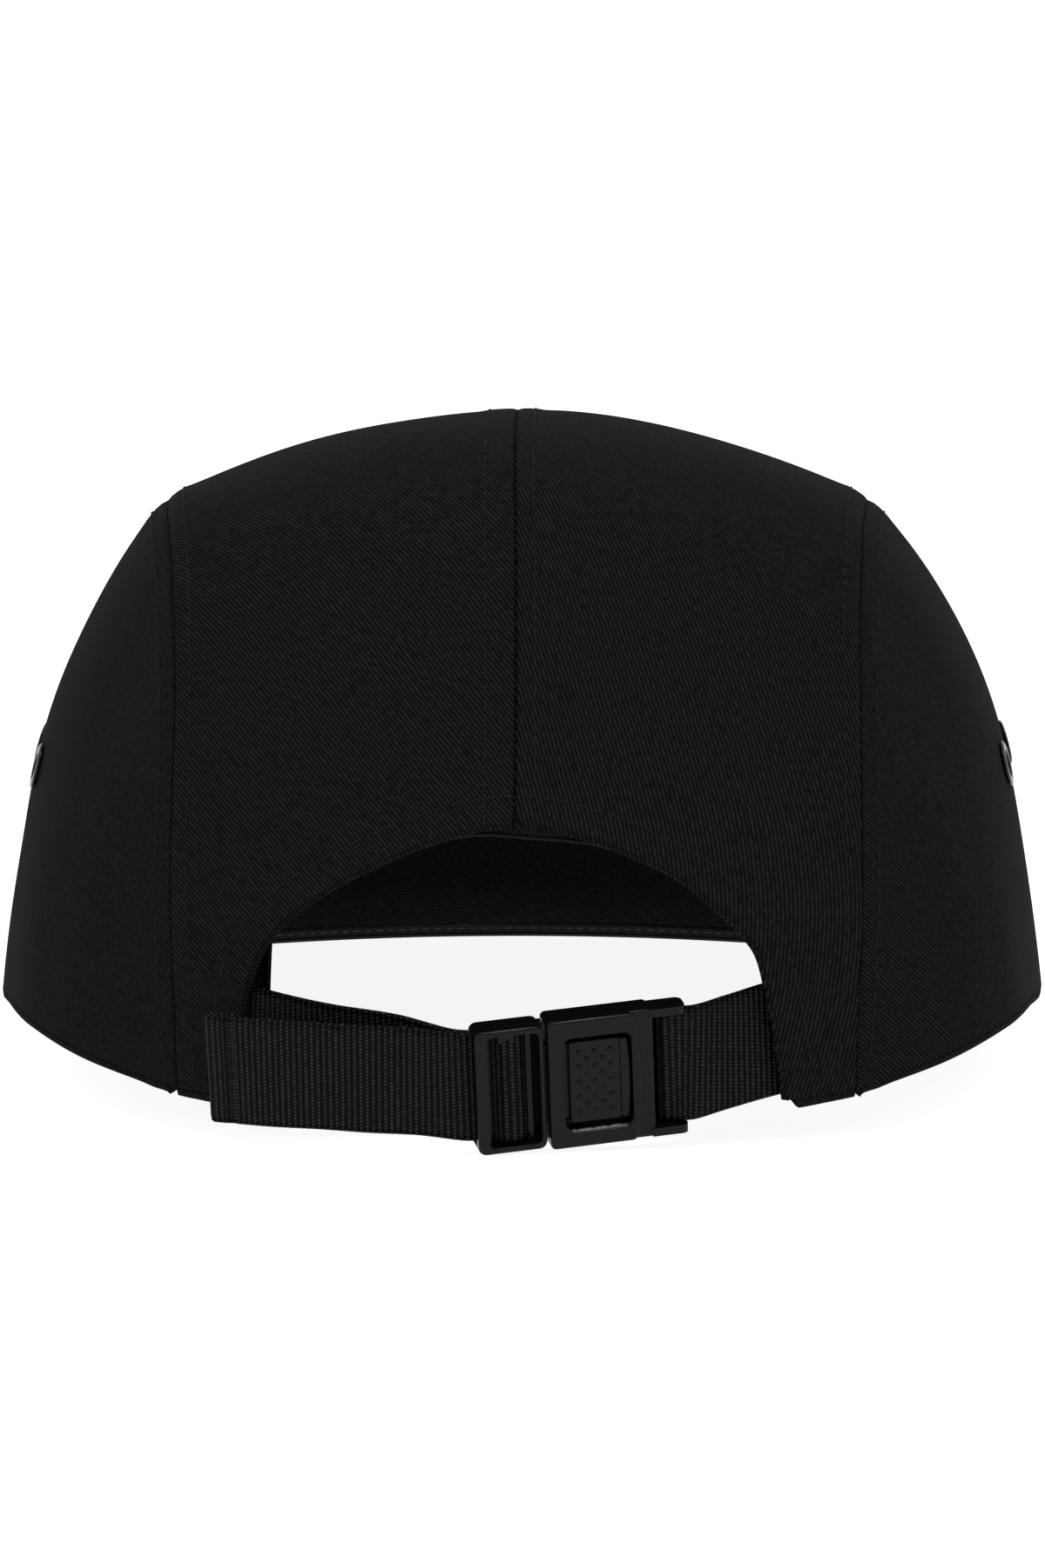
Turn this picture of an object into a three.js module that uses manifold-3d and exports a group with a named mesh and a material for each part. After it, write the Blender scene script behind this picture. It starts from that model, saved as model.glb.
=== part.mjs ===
// Jockey cap of black cotton twill with a webbing strap and a front-release buckle at the back.
// Millimetres, +Z up. The peak points to -Y, the strap lies at +Y, and the wearer's left is +X.
// The cap stands on the floor at z = 0 on the two lobes of its peak and on the buckle.
import * as THREE from "three";
import { mergeVertices } from "three/addons/utils/BufferGeometryUtils.js";
import Module from "manifold-3d";

const wasm = await Module();
wasm.setup();

// Driving dimensions
const clothThick = 1.2;
const gap = 0.3;
const crownY = 32.5;
const crownLean = 0.5;
const seamRound = 3;
const seamGap = 0.2;
const crossSeam = 2.85;
const archHalfWidth = 38.7;
const archTop = 47.9;
const archHeight = 27.6;
const archLegSpread = 3.4;
const bandHeight = 30;
const bandThick = 1.1;
const webWidth = 17.4;
const webThick = 1.2;
const peakThick = 3;
const peakTip = -163.5;
const peakLevel = 7.48;
const peakSlope = 0.085;
const peakBendRadius = 550;

// Crown ribs from the front rim over the top to the back rim: the middle, the side seam and the rim
// below that seam. Y is measured from the crown's middle.
const crownRibs = [
  { midY: -98, midZ: 8.2, seamX: 62, seamY: -73, seamZ: 8.7, rimX: 62, rimY: -73, rimZ: 8.7 },
  { midY: -91, midZ: 47.2, seamX: 61.5, seamY: -68.5, seamZ: 41.2, rimX: 72, rimY: -57, rimZ: 9.9 },
  { midY: -70, midZ: 80.2, seamX: 60.5, seamY: -52, seamZ: 69.2, rimX: 80, rimY: -38, rimZ: 11.2 },
  { midY: -36, midZ: 100.7, seamX: 58, seamY: -26, seamZ: 87.9, rimX: 84.5, rimY: -17, rimZ: 11.4 },
  { midY: 4, midZ: 106.2, seamX: 56.8, seamY: 5, seamZ: 92.4, rimX: 84, rimY: 5, rimZ: 12 },
  { midY: 43, midZ: 99.2, seamX: 54.8, seamY: 36, seamZ: 87, rimX: 81.5, rimY: 27, rimZ: 13.6 },
  { midY: 74, midZ: 75, seamX: 53.7, seamY: 60, seamZ: 66.8, rimX: 76.9, rimY: 47.5, rimZ: 13.2 },
  { midY: 92, midZ: 40.2, seamX: 53.1, seamY: 73, seamZ: 37.7, rimX: 66.9, rimY: 64.5, rimZ: 10.4 },
  { midY: 97, midZ: 4.3, seamX: 53, seamY: 77, seamZ: 6.9, rimX: 53, rimY: 77, rimZ: 6.9 },
];
const lastRib = crownRibs.length - 1;
const ribSpacing = 40;
const stripHalfWidth = 56;

// Each side panel leaves its seam at this slope below level, and meets the rim at this outward lean.
const sideSlope = { left: 51.5, right: 46.5 };
const rimFlare = 6;
const sideReach = 0.39;

const cotton = new THREE.MeshStandardMaterial({ color: 0x101011, roughness: 0.95, metalness: 0 });
const facing = new THREE.MeshStandardMaterial({ color: 0x1b1b1c, roughness: 0.95, metalness: 0 });
const webbing = new THREE.MeshStandardMaterial({ color: 0x131314, roughness: 0.8, metalness: 0 });
const moulded = new THREE.MeshStandardMaterial({ color: 0x161617, roughness: 0.45, metalness: 0 });
const enamel = new THREE.MeshStandardMaterial({ color: 0x0c0c0c, roughness: 0.3, metalness: 0.6 });

const radians = THREE.MathUtils.degToRad;
const lerp = THREE.MathUtils.lerp;
const clamp = THREE.MathUtils.clamp;

function ribCurve(x, y, z) {
  const points = crownRibs.map((rib) => new THREE.Vector3(x ? rib[x] : 0, rib[y] + crownY, rib[z]));
  return new THREE.CatmullRomCurve3(points, false, "catmullrom", 0.5);
}

const middleCurve = ribCurve(null, "midY", "midZ");
const seamCurve = ribCurve("seamX", "seamY", "seamZ");
const rimCurve = ribCurve("rimX", "rimY", "rimZ");

// A point of the strip between the side seams: across runs from -1 at the right seam to 1 at the left.
function stripPoint(rib, across) {
  const u = clamp(rib / lastRib, 0, 1);
  const middle = middleCurve.getPoint(u);
  const seam = seamCurve.getPoint(u);
  const drop = across * across;
  return new THREE.Vector3(
    crownLean + seam.x * across,
    lerp(middle.y, seam.y, drop),
    lerp(middle.z, seam.z, drop),
  );
}

function sideDepth(rib) {
  const u = clamp(rib / lastRib, 0, 1);
  return seamCurve.getPoint(u).distanceTo(rimCurve.getPoint(u));
}

// A point of a side panel: down runs from 0 at the seam to 1 at the rim, hand is 1 left or -1 right.
function sidePoint(rib, down, hand) {
  const u = clamp(rib / lastRib, 0, 1);
  const seam = seamCurve.getPoint(u);
  const rim = rimCurve.getPoint(u);
  const depth = seam.distanceTo(rim);
  const out = new THREE.Vector3(rim.x - seam.x, rim.y - seam.y, 0);
  out.normalize();
  const slope = radians(hand > 0 ? sideSlope.left : sideSlope.right);
  const flare = radians(rimFlare);
  const leave = out.clone().multiplyScalar(Math.cos(slope));
  leave.z = -Math.sin(slope);
  const meet = out.clone().multiplyScalar(Math.sin(flare));
  meet.z = -Math.cos(flare);
  const upper = seam.clone().addScaledVector(leave, depth * sideReach);
  const lower = rim.clone().addScaledVector(meet, -depth * sideReach);
  const point = new THREE.CubicBezierCurve3(seam, upper, lower, rim).getPoint(down);
  point.x = hand * point.x + crownLean * (1 - down);
  return point;
}

// A point of the whole crown: across is 0 on the middle, 1 on the left seam and 2 on the left rim.
function sharpCrown(rib, across) {
  const size = Math.abs(across);
  return size <= 1 ? stripPoint(rib, across) : sidePoint(rib, Math.min(size - 1, 1), Math.sign(across));
}

// The same with the crease at the side seams rounded off.
function crownPoint(rib, across) {
  const u = clamp(rib / lastRib, 0, 1);
  const hand = Math.sign(across) || 1;
  const half = seamCurve.getPoint(u).x;
  const depth = Math.max(sideDepth(rib), 0.01);
  const size = Math.abs(across);
  const away = size <= 1 ? (1 - size) * half : (size - 1) * depth;
  const reach = seamRound * clamp(1 - away / (5 * seamRound), 0, 1);
  const sum = new THREE.Vector3();
  const weights = [1, 2, 3, 2, 1];
  const signed = size <= 1 ? -away : away;
  weights.forEach((weight, k) => {
    const distance = signed + (k - 2) * Math.min(reach, depth / 5);
    const at = distance <= 0 ? 1 + distance / half : 1 + distance / depth;
    sum.addScaledVector(sharpCrown(rib, hand * at), weight / 9);
  });
  return sum;
}

// The direction into the crown, square to its surface.
function crownInward(rib, across) {
  const atRib = clamp(rib, 0.12, lastRib - 0.12);
  const atAcross = clamp(across, -1.97, 1.97);
  const step = 0.02;
  const along = crownPoint(atRib + step, atAcross).sub(crownPoint(atRib - step, atAcross));
  const over = crownPoint(atRib, atAcross + step).sub(crownPoint(atRib, atAcross - step));
  return along.cross(over).normalize();
}

function crownAt(rib, across, depth) {
  return crownPoint(rib, across).addScaledVector(crownInward(rib, across), depth);
}

// A closed geometry with its shared corners merged and its faces turned out.
function closed(geometry) {
  const bare = new THREE.BufferGeometry();
  bare.setAttribute("position", geometry.getAttribute("position"));
  bare.setIndex(geometry.getIndex());
  const merged = mergeVertices(bare, 1e-4);
  const at = merged.getAttribute("position");
  const index = merged.getIndex().array;
  const corner = [new THREE.Vector3(), new THREE.Vector3(), new THREE.Vector3()];
  const kept = [];
  let volume = 0;
  for (let i = 0; i < index.length; i += 3) {
    const [a, b, c] = [index[i], index[i + 1], index[i + 2]];
    if (a === b || b === c || a === c) continue;
    kept.push(a, b, c);
    [a, b, c].forEach((k, n) => corner[n].fromBufferAttribute(at, k));
    volume += corner[0].dot(corner[1].cross(corner[2]));
  }
  if (volume < 0) kept.reverse();
  merged.setIndex(kept);
  merged.computeVertexNormals();
  return merged;
}

// A sheet: a box grid whose corners are placed by (a, b) over the sheet and c through it, all 0 to 1.
function sheet(stepsA, stepsB, place) {
  const box = new THREE.BoxGeometry(1, 1, 1, stepsA, stepsB, 1);
  const at = box.getAttribute("position");
  for (let i = 0; i < at.count; i++) {
    const point = place(at.getX(i) + 0.5, at.getY(i) + 0.5, at.getZ(i) + 0.5);
    at.setXYZ(i, point.x, point.y, point.z);
  }
  return closed(box);
}

function solidOf(geometry) {
  const whole = closed(geometry);
  const vertProperties = new Float32Array(whole.getAttribute("position").array);
  const triVerts = new Uint32Array(whole.getIndex().array);
  return new wasm.Manifold(new wasm.Mesh({ numProp: 3, vertProperties, triVerts }));
}

function geometryOf(solid) {
  const mesh = solid.getMesh();
  const geometry = new THREE.BufferGeometry();
  geometry.setAttribute("position", new THREE.BufferAttribute(new Float32Array(mesh.vertProperties), 3));
  geometry.setIndex(Array.from(mesh.triVerts));
  geometry.computeVertexNormals();
  return geometry;
}

function joined(geometries) {
  return geometryOf(geometries.map(solidOf).reduce((whole, piece) => whole.add(piece)));
}

function named(name, geometry, material) {
  const mesh = new THREE.Mesh(geometry, material);
  mesh.name = name;
  return mesh;
}

const cap = new THREE.Group();

// Front panel, from the rim to the cross seam just before the top
const crossGap = seamGap / ribSpacing;
const seamEdge = 1 - seamGap / stripHalfWidth;
cap.add(named("front_panel", sheet(12, 16, (a, b, c) => {
  const rib = lerp(0, crossSeam - crossGap, a);
  const across = lerp(-seamEdge, seamEdge, b);
  return crownAt(rib, across, c * clothThick);
}), cotton));

// The arch edge as x and z: an ellipse to the knee, then a leg that spreads to the rim. Turn runs from
// 0 at the top to 1 at the rim, and grow moves the ellipse outward.
const archKnee = radians(72);
const archLegShare = 0.42;
const archLegHollow = 1.4;
function archEllipse(angle, grow) {
  const x = (archHalfWidth + grow) * Math.sin(angle);
  return { x, z: archTop - archHeight + (archHeight + grow) * Math.cos(angle) };
}

function archEdge(turn) {
  const knee = archEllipse(archKnee, 0);
  if (turn < 1 - archLegShare) return archEllipse((archKnee * turn) / (1 - archLegShare), 0);
  const leg = (turn - 1 + archLegShare) / archLegShare;
  const spread = lerp(archHalfWidth + archLegSpread, knee.x, Math.pow(1 - leg, 2.2));
  return { x: spread - archLegHollow * leg * (1 - leg), z: lerp(knee.z, 0, leg) };
}

// The rib and the place across the strip where the crown's outer face has this x and z.
function onBack(x, z) {
  let low = 5;
  let high = lastRib;
  let across = 0;
  for (let i = 0; i < 30; i++) {
    const rib = (low + high) / 2;
    across = x / seamCurve.getPoint(rib / lastRib).x;
    if (crownPoint(rib, across).z > z) low = rib;
    else high = rib;
  }
  return { rib: (low + high) / 2, across };
}

// The inner border of a back panel: down the centre seam to the arch, then along the arch to the rim.
const archShare = 0.5;
const archMiddle = onBack(0, archTop).rib;
function backBorder(a) {
  if (a <= 1 - archShare) {
    return { rib: lerp(crossSeam + crossGap, archMiddle, a / (1 - archShare)), across: 1 - seamEdge };
  }
  const edge = archEdge((a - 1 + archShare) / archShare);
  const place = onBack(edge.x, edge.z);
  return { rib: place.rib, across: Math.max(place.across, 1 - seamEdge) };
}

function backPanel(hand) {
  return sheet(24, 10, (a, b, c) => {
    const inner = backBorder(a);
    const outerRib = lerp(crossSeam + crossGap, lastRib, Math.pow(a, 0.9));
    const rib = lerp(inner.rib, outerRib, b);
    const across = lerp(inner.across, seamEdge, b);
    return crownAt(rib, hand * across, c * clothThick);
  });
}
cap.add(named("back_panel_left", backPanel(1), cotton));
cap.add(named("back_panel_right", backPanel(-1), cotton));

// Side panels, each cut through for its two eyelets
const eyelets = [
  { place: "rear", rib: 4.45, down: 0.56 },
  { place: "front", rib: 3.3, down: 0.54 },
];
const eyeletHole = 4;
const eyeletFlange = 7.2;
const eyeletBarrel = 5;
const eyeletProud = 0.7;

function sidePanel(hand) {
  return sheet(26, 7, (a, b, c) => {
    const rib = lerp(0.04, lastRib - 0.04, a);
    const start = seamGap / sideDepth(rib);
    return crownAt(rib, hand * lerp(1 + start, 2, b), c * clothThick);
  });
}

// Turns a geometry made round the Z axis to stand on the crown there, with +Z pointing out.
function standOnCrown(geometry, rib, across) {
  const stand = new THREE.Object3D();
  stand.position.copy(crownPoint(rib, across));
  stand.quaternion.setFromUnitVectors(new THREE.Vector3(0, 0, -1), crownInward(rib, across));
  stand.updateMatrix();
  return closed(geometry.applyMatrix4(stand.matrix));
}

function eyeletRing() {
  const hole = eyeletHole / 2;
  const barrel = eyeletBarrel / 2 - gap;
  const flange = eyeletFlange / 2;
  const seat = 1.5 * gap;
  const top = seat + eyeletProud;
  const under = -clothThick - seat;
  const profile = [
    [hole, top * 0.5], [hole + 0.5, top], [flange - 0.6, top], [flange, seat], [barrel, seat],
    [barrel, under], [flange, under], [flange - 0.4, under - 0.5], [hole, under - 0.5], [hole, top * 0.5],
  ].map(([x, y]) => new THREE.Vector2(x, y));
  return new THREE.LatheGeometry(profile, 16).rotateX(Math.PI / 2);
}

for (const [side, hand] of [["left", 1], ["right", -1]]) {
  let panel = solidOf(sidePanel(hand));
  for (const { rib, down } of eyelets) {
    const punch = new THREE.CylinderGeometry(eyeletBarrel / 2, eyeletBarrel / 2, 8, 16).rotateX(Math.PI / 2);
    panel = panel.subtract(solidOf(standOnCrown(punch, rib, hand * (1 + down))));
  }
  cap.add(named(`side_panel_${side}`, geometryOf(panel), cotton));
  for (const { place, rib, down } of eyelets) {
    cap.add(named(`eyelet_${side}_${place}`, standOnCrown(eyeletRing(), rib, hand * (1 + down)), enamel));
  }
}

// Peak: its inner edge follows the front rim, and its outer edge is half of this outline and its mirror
const peakOutline = [
  { x: 79, y: -48 }, { x: 83.5, y: -70 }, { x: 84, y: -95 }, { x: 77, y: -121 },
  { x: 63, y: -142.5 }, { x: 44, y: -155.5 }, { x: 22, y: -162 },
];
const peakEdge = new THREE.CatmullRomCurve3([
  ...peakOutline.map(({ x, y }) => new THREE.Vector3(-x, y + crownY, 0)),
  new THREE.Vector3(0, peakTip + crownY, 0),
  ...peakOutline.slice().reverse().map(({ x, y }) => new THREE.Vector3(x, y + crownY, 0)),
], false, "catmullrom", 0.5);
const peakRoot = 0.72;
const peakRootRibs = 1.4;

function peakInner(u) {
  const size = Math.abs(u);
  const hand = Math.sign(u) || 1;
  const onSide = (size - peakRoot) / (1 - peakRoot);
  const point = size <= peakRoot
    ? crownPoint(0, u / peakRoot)
    : crownPoint(Math.max(onSide * peakRootRibs, 0.01), 2 * hand);
  const out = new THREE.Vector3(point.x * 1.35, point.y - crownY, 0).normalize();
  return point.addScaledVector(out, 2 * gap);
}

// The underside slopes down from the front rim and bends down to both sides.
function peakUnder(x, y) {
  const ahead = crownRibs[0].midY + crownY - y;
  return peakLevel - peakSlope * ahead - (x * x) / (2 * peakBendRadius);
}

cap.add(named("peak", sheet(6, 28, (a, b, c) => {
  const inner = peakInner(2 * b - 1);
  const outer = peakEdge.getPoint(b);
  const point = inner.clone().lerp(outer, a);
  const under = lerp(inner.z + gap, peakUnder(outer.x, outer.y), a);
  point.z = under + (1 - c) * peakThick;
  return point;
}), cotton));

// Sweatband, hung inside the crown by casting level rays out from the crown's middle
const wall = new THREE.PlaneGeometry(1, 1, 48, 64);
const wallAt = wall.getAttribute("position");
for (let i = 0; i < wallAt.count; i++) {
  const point = crownPoint((wallAt.getX(i) + 0.5) * lastRib, wallAt.getY(i) * 4);
  wallAt.setXYZ(i, point.x, point.y, point.z);
}
const wallMesh = new THREE.Mesh(wall, new THREE.MeshStandardMaterial({ side: THREE.DoubleSide }));
wallMesh.updateMatrixWorld(true);
const caster = new THREE.Raycaster();

// The angle round the crown from its front, positive to the left, and the height of the rim there.
const angleAt = (point) => Math.atan2(point.x, crownY - point.y);
const rimLine = [];
for (let i = -30; i <= 30; i++) rimLine.push(crownPoint(0, i / 30));
for (let i = 0; i <= 60; i++) {
  const rib = lerp(0.05, lastRib - 0.05, i / 60);
  rimLine.push(crownPoint(rib, 2), crownPoint(rib, -2));
}
for (let i = 5; i <= 30; i++) rimLine.push(crownPoint(lastRib, i / 30), crownPoint(lastRib, -i / 30));
const rimHeights = rimLine.map((point) => ({ angle: angleAt(point), z: point.z }));
rimHeights.sort((p, q) => p.angle - q.angle);

function rimHeight(angle) {
  const next = rimHeights.findIndex((entry) => entry.angle >= angle);
  const q = rimHeights[next < 0 ? rimHeights.length - 1 : next];
  const p = rimHeights[Math.max((next < 0 ? rimHeights.length : next) - 1, 0)];
  return q.angle > p.angle ? lerp(p.z, q.z, (angle - p.angle) / (q.angle - p.angle)) : q.z;
}

function wallPoint(angle, z, depth) {
  const out = new THREE.Vector3(Math.sin(angle), -Math.cos(angle), 0);
  caster.set(new THREE.Vector3(0, crownY, z), out);
  const hit = caster.intersectObject(wallMesh)[0];
  return hit.point.addScaledVector(out, -depth);
}

const bandEnd = radians(155);
const strapLayers = { left: clothThick + webThick + 3 * gap, right: clothThick + 2 * webThick + 3 * gap };
function bandDepth(angle) {
  const under = angle > 0 ? strapLayers.left : strapLayers.right;
  const near = THREE.MathUtils.smoothstep(Math.abs(angle), radians(128), radians(143));
  return 1.12 * lerp(clothThick + gap, under + gap, near);
}

cap.add(named("sweatband", sheet(4, 64, (a, b, c) => {
  const angle = lerp(-bandEnd, bandEnd, b);
  const z = rimHeight(angle) + lerp(0.2, bandHeight, a);
  return wallPoint(angle, z, bandDepth(angle) + c * bandThick);
}), cotton));

// Tape inside the top of the arch, which shows as a thin strip under the edge
const tapeAngle = radians(48);
const tapePeek = 0.6;
const tapeWidth = 8;
const tapeThick = 0.7;
cap.add(named("arch_tape", sheet(2, 20, (a, b, c) => {
  const angle = lerp(-tapeAngle, tapeAngle, b);
  const edge = archEllipse(angle, lerp(-tapePeek, tapeWidth - tapePeek, a));
  const place = onBack(edge.x, edge.z);
  return crownAt(place.rib, place.across, clothThick + 1.4 * gap + c * tapeThick);
}), facing));

// Buckle, drawn as it is seen from behind: x to the right, y up and z out, from the joint's middle
const buckleLean = 13;
const buckleTurn = 14;
const buckleTilt = 5.2;
const buckleSeat = new THREE.Group();
buckleSeat.position.set(-4.9, crownY + 91.6, 11.1);
buckleSeat.rotation.set(radians(90 + buckleLean), 0, radians(180 + buckleTurn), "ZXY");
const buckle = new THREE.Group();
buckle.rotation.z = radians(buckleTilt);
buckleSeat.add(buckle);
cap.add(buckleSeat);
cap.updateMatrixWorld(true);

function block(x0, x1, y0, y1, z0, z1) {
  return new THREE.BoxGeometry(x1 - x0, y1 - y0, z1 - z0)
    .translate((x0 + x1) / 2, (y0 + y1) / 2, (z0 + z1) / 2);
}

// A plate with rounded corners between two depths.
function plate(x0, x1, y0, y1, z0, z1, round) {
  const shape = new THREE.Shape();
  shape.moveTo(x0 + round, y0);
  shape.lineTo(x1 - round, y0);
  shape.absarc(x1 - round, y0 + round, round, -Math.PI / 2, 0);
  shape.lineTo(x1, y1 - round);
  shape.absarc(x1 - round, y1 - round, round, 0, Math.PI / 2);
  shape.lineTo(x0 + round, y1);
  shape.absarc(x0 + round, y1 - round, round, Math.PI / 2, Math.PI);
  shape.lineTo(x0, y0 + round);
  shape.absarc(x0 + round, y0 + round, round, Math.PI, Math.PI * 1.5);
  return new THREE.ExtrudeGeometry(shape, { depth: z1 - z0, bevelEnabled: false, curveSegments: 4 })
    .translate(0, 0, z0);
}

function cut(geometry, ...tools) {
  return geometryOf(tools.map(solidOf).reduce((left, tool) => left.subtract(tool), solidOf(geometry)));
}

const male = { left: -10.9, right: -0.25, half: 10, deep: 2.4, rail: 0.9, wall: 0.7, bar: 1.9, barBack: 0.9 };
const female = { left: 0.25, right: 16.8, end: 21.9, half: 10.4, deep: 2.6, rail: 1.4, railDeep: 2 };
const tongue = { right: 12.6, half: 6.2, back: -1.1, front: 0.9 };
const pad = { left: 3.3, right: 11.2, half: 6.6, face: 2 };
const padWindow = { left: 2.65, right: 13, half: 7.6 };
const through = 5;
const overlap = 0.5;
const socket = { left: female.left - 1, right: tongue.right + 0.6, half: tongue.half + 0.4 };

const ladderHalf = male.half - male.rail;
const maleFrame = cut(
  plate(male.left, male.right, -male.half, male.half, -male.deep, male.deep, 1.2),
  block(male.left + male.bar, male.right - male.wall, -ladderHalf, ladderHalf, -through, through),
  block(male.left - 1, male.left + male.bar + 0.1, -ladderHalf, ladderHalf, -through, male.barBack),
);
const middleBar = block(-6.2, -4.5, -ladderHalf - overlap, ladderHalf + overlap, -0.6, 0.2);
const innerBar = block(-2.5, -1.5, -ladderHalf - overlap, ladderHalf + overlap, -1.6, 0.2);
buckle.add(named("buckle_male", joined([
  maleFrame,
  middleBar,
  innerBar,
  block(male.right - overlap, tongue.right, -tongue.half, tongue.half, tongue.back, tongue.front),
  plate(pad.left, pad.right, -pad.half, pad.half, tongue.front - 0.3, pad.face, 0.6),
]), moulded));

const railIn = female.half - female.rail;
buckle.add(named("buckle_female", joined([
  cut(
    plate(female.left, female.right, -female.half, female.half, -female.deep, female.deep, 1),
    block(socket.left, socket.right, -socket.half, socket.half, tongue.back - gap, tongue.front + 0.4),
    plate(padWindow.left, padWindow.right, -padWindow.half, padWindow.half, tongue.front - 0.6, through, 1.2),
  ),
  block(female.right - overlap, female.end, railIn, female.half, -female.railDeep, female.railDeep),
  block(female.right - overlap, female.end, -female.half, -railIn, -female.railDeep, female.railDeep),
  block(female.end - 2.6, female.end - 0.5, -railIn - overlap, railIn + overlap, -1.4, -0.5),
]), moulded));

// Straps: rows from end to end give the middle of the webbing and the way its upper edge points
const strapBend = 0.0141;
function hung(x, y, z, lean) {
  const out = new THREE.Vector3(strapBend * x, 1, 0).normalize();
  const up = out.multiplyScalar(Math.sin(radians(lean)));
  up.z = Math.cos(radians(lean));
  return { at: new THREE.Vector3(x, y + crownY, z), up };
}

function onBuckle(x, z) {
  const at = buckle.localToWorld(new THREE.Vector3(x, 0, z));
  const up = buckle.localToWorld(new THREE.Vector3(x, 1, z)).sub(at);
  return { at, up };
}

function strap(rows, steps) {
  const line = new THREE.CatmullRomCurve3(rows.map((row) => row.at), false, "centripetal");
  const ups = new THREE.CatmullRomCurve3(rows.map((row) => row.up), false, "catmullrom", 0.5);
  return sheet(steps, 2, (a, b, c) => {
    const along = line.getTangent(a);
    const up = ups.getPoint(a);
    up.addScaledVector(along, -up.dot(along)).normalize();
    const out = along.cross(up).normalize();
    return line.getPoint(a)
      .addScaledVector(up, (b - 0.5) * webWidth)
      .addScaledVector(out, (c - 0.5) * webThick);
  });
}

cap.add(named("strap_adjust", strap([
  hung(49, 76.2, 16.6, -6),
  hung(44, 79.5, 16, -6),
  hung(36.7, 84.2, 14.7, -2),
  hung(27, 88.4, 13.2, 5),
  hung(16.6, 91.2, 11.9, 10),
  onBuckle(-12.5, -1.75),
  onBuckle(-8, -1.75),
  onBuckle(-4.4, -1.75),
  onBuckle(-3.4, -0.9),
  onBuckle(-3.4, 0.3),
  onBuckle(-4.4, 1.2),
  onBuckle(-6.2, 1.2),
  onBuckle(-8, 0.15),
  onBuckle(-10, -0.1),
  onBuckle(-12.5, 0),
  hung(14, 94.5, 11.1, 14),
  hung(22, 93.8, 11.5, 15),
  hung(29, 92.4, 11.7, 16),
  hung(35.8, 90.4, 11.8, 18),
  hung(41, 88.2, 11.7, 18),
  hung(46.3, 85.6, 11.5, 18),
], 64), webbing));

cap.add(named("strap_fixed", strap([
  hung(-49, 75.2, 17.2, -6),
  hung(-44, 78.8, 16.6, -6),
  hung(-38, 82.6, 15.8, -4),
  hung(-32, 85.2, 14.7, 5),
  onBuckle(23, 0.5),
  onBuckle(19.6, 0.55),
  onBuckle(18.1, 0.2),
  onBuckle(17.75, -0.95),
  onBuckle(18.1, -2.1),
  onBuckle(19.6, -2.5),
  onBuckle(23, -2.55),
  hung(-32, 83, 14.7, 5),
  hung(-38, 81, 15.8, -4),
  hung(-44, 77, 16.6, -6),
  hung(-49, 73.4, 17.2, -6),
], 48), webbing));

export default cap;
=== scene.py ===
# Jockey cap of black cotton twill, seen from behind, with a webbing strap and a front-release
# buckle. Lengths are in millimetres until a mesh is made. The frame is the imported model's: +Z up,
# the peak towards -Y, the strap at +Y and the wearer's left at +X.
import math

import bmesh
import bpy
import numpy as np
from mathutils import Matrix, Vector
from mathutils.bvhtree import BVHTree


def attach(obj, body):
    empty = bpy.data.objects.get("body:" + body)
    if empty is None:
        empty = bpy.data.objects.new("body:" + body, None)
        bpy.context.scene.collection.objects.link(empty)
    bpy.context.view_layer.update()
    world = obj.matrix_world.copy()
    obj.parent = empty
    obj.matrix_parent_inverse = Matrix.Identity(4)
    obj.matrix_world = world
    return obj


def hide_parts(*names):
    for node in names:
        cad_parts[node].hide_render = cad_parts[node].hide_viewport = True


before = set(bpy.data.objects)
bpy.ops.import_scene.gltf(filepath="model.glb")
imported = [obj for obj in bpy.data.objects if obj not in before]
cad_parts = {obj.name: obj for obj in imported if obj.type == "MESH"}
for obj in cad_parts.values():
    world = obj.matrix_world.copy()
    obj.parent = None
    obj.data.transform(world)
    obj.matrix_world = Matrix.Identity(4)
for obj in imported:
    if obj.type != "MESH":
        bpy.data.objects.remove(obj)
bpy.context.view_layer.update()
mm = 0.001
bpy.ops.object.select_all(action="DESELECT")


def tint(code):  # sRGB hex to the linear colour that a shader takes
    channels = [int(code[i:i + 2], 16) / 255 for i in (1, 3, 5)]
    return (*[c / 12.92 if c <= 0.04045 else ((c + 0.055) / 1.055) ** 2.4 for c in channels], 1)


def addNode(tree, kind, values={}, links={}, **settings):
    made = tree.nodes.new("ShaderNode" + kind)
    for key, value in settings.items():
        setattr(made, key, value)
    for key, value in values.items():
        made.inputs[key].default_value = value
    for key, source in links.items():
        tree.links.new(source, made.inputs[key])
    return made.outputs


def newMaterial(name, shaderValues, shaderLinks):
    # shaderLinks is a function of the node tree that gives the links of the shader
    made = bpy.data.materials.new(name)
    made.use_nodes = True
    tree = made.node_tree
    tree.nodes.clear()
    shader = addNode(tree, "BsdfPrincipled", shaderValues, shaderLinks(tree))
    addNode(tree, "OutputMaterial", {}, {"Surface": shader["BSDF"]})
    return made


# Cotton twill: steep diagonal wales of matt, slightly fuzzy yarn with dark furrows between them
twill = {
    "wale": 0.64,  # the real wales are 0.5 mm apart, too fine to show, so they are drawn coarser
    "floats": 1.5,  # length of one yarn on the surface
    "wander": 0.9,  # how far a wale strays, in wales
    "drift": 0.11,  # how often it strays
    "round": 1.5,  # the higher, the wider the furrows
    "own": 5.7,  # shifts the yarns of each wale, so that no two wales match
    "lit": (0.35, 1.25),  # the darkest and the lightest yarns
    "yarn": "#1c1c1c",
    "furrow": "#030303",
    "depth": 0.14,
    "roughness": 0.92,
    "specular": 0.03,
    # the sweatband's, paler at its foot: painted light, standing in for the light that reaches its
    # lower part from below
    "paintedLightFoot": {"yarn": "#262626", "furrow": "#0a0a0a", "low": 8.5, "high": 18.0},
}


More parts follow.
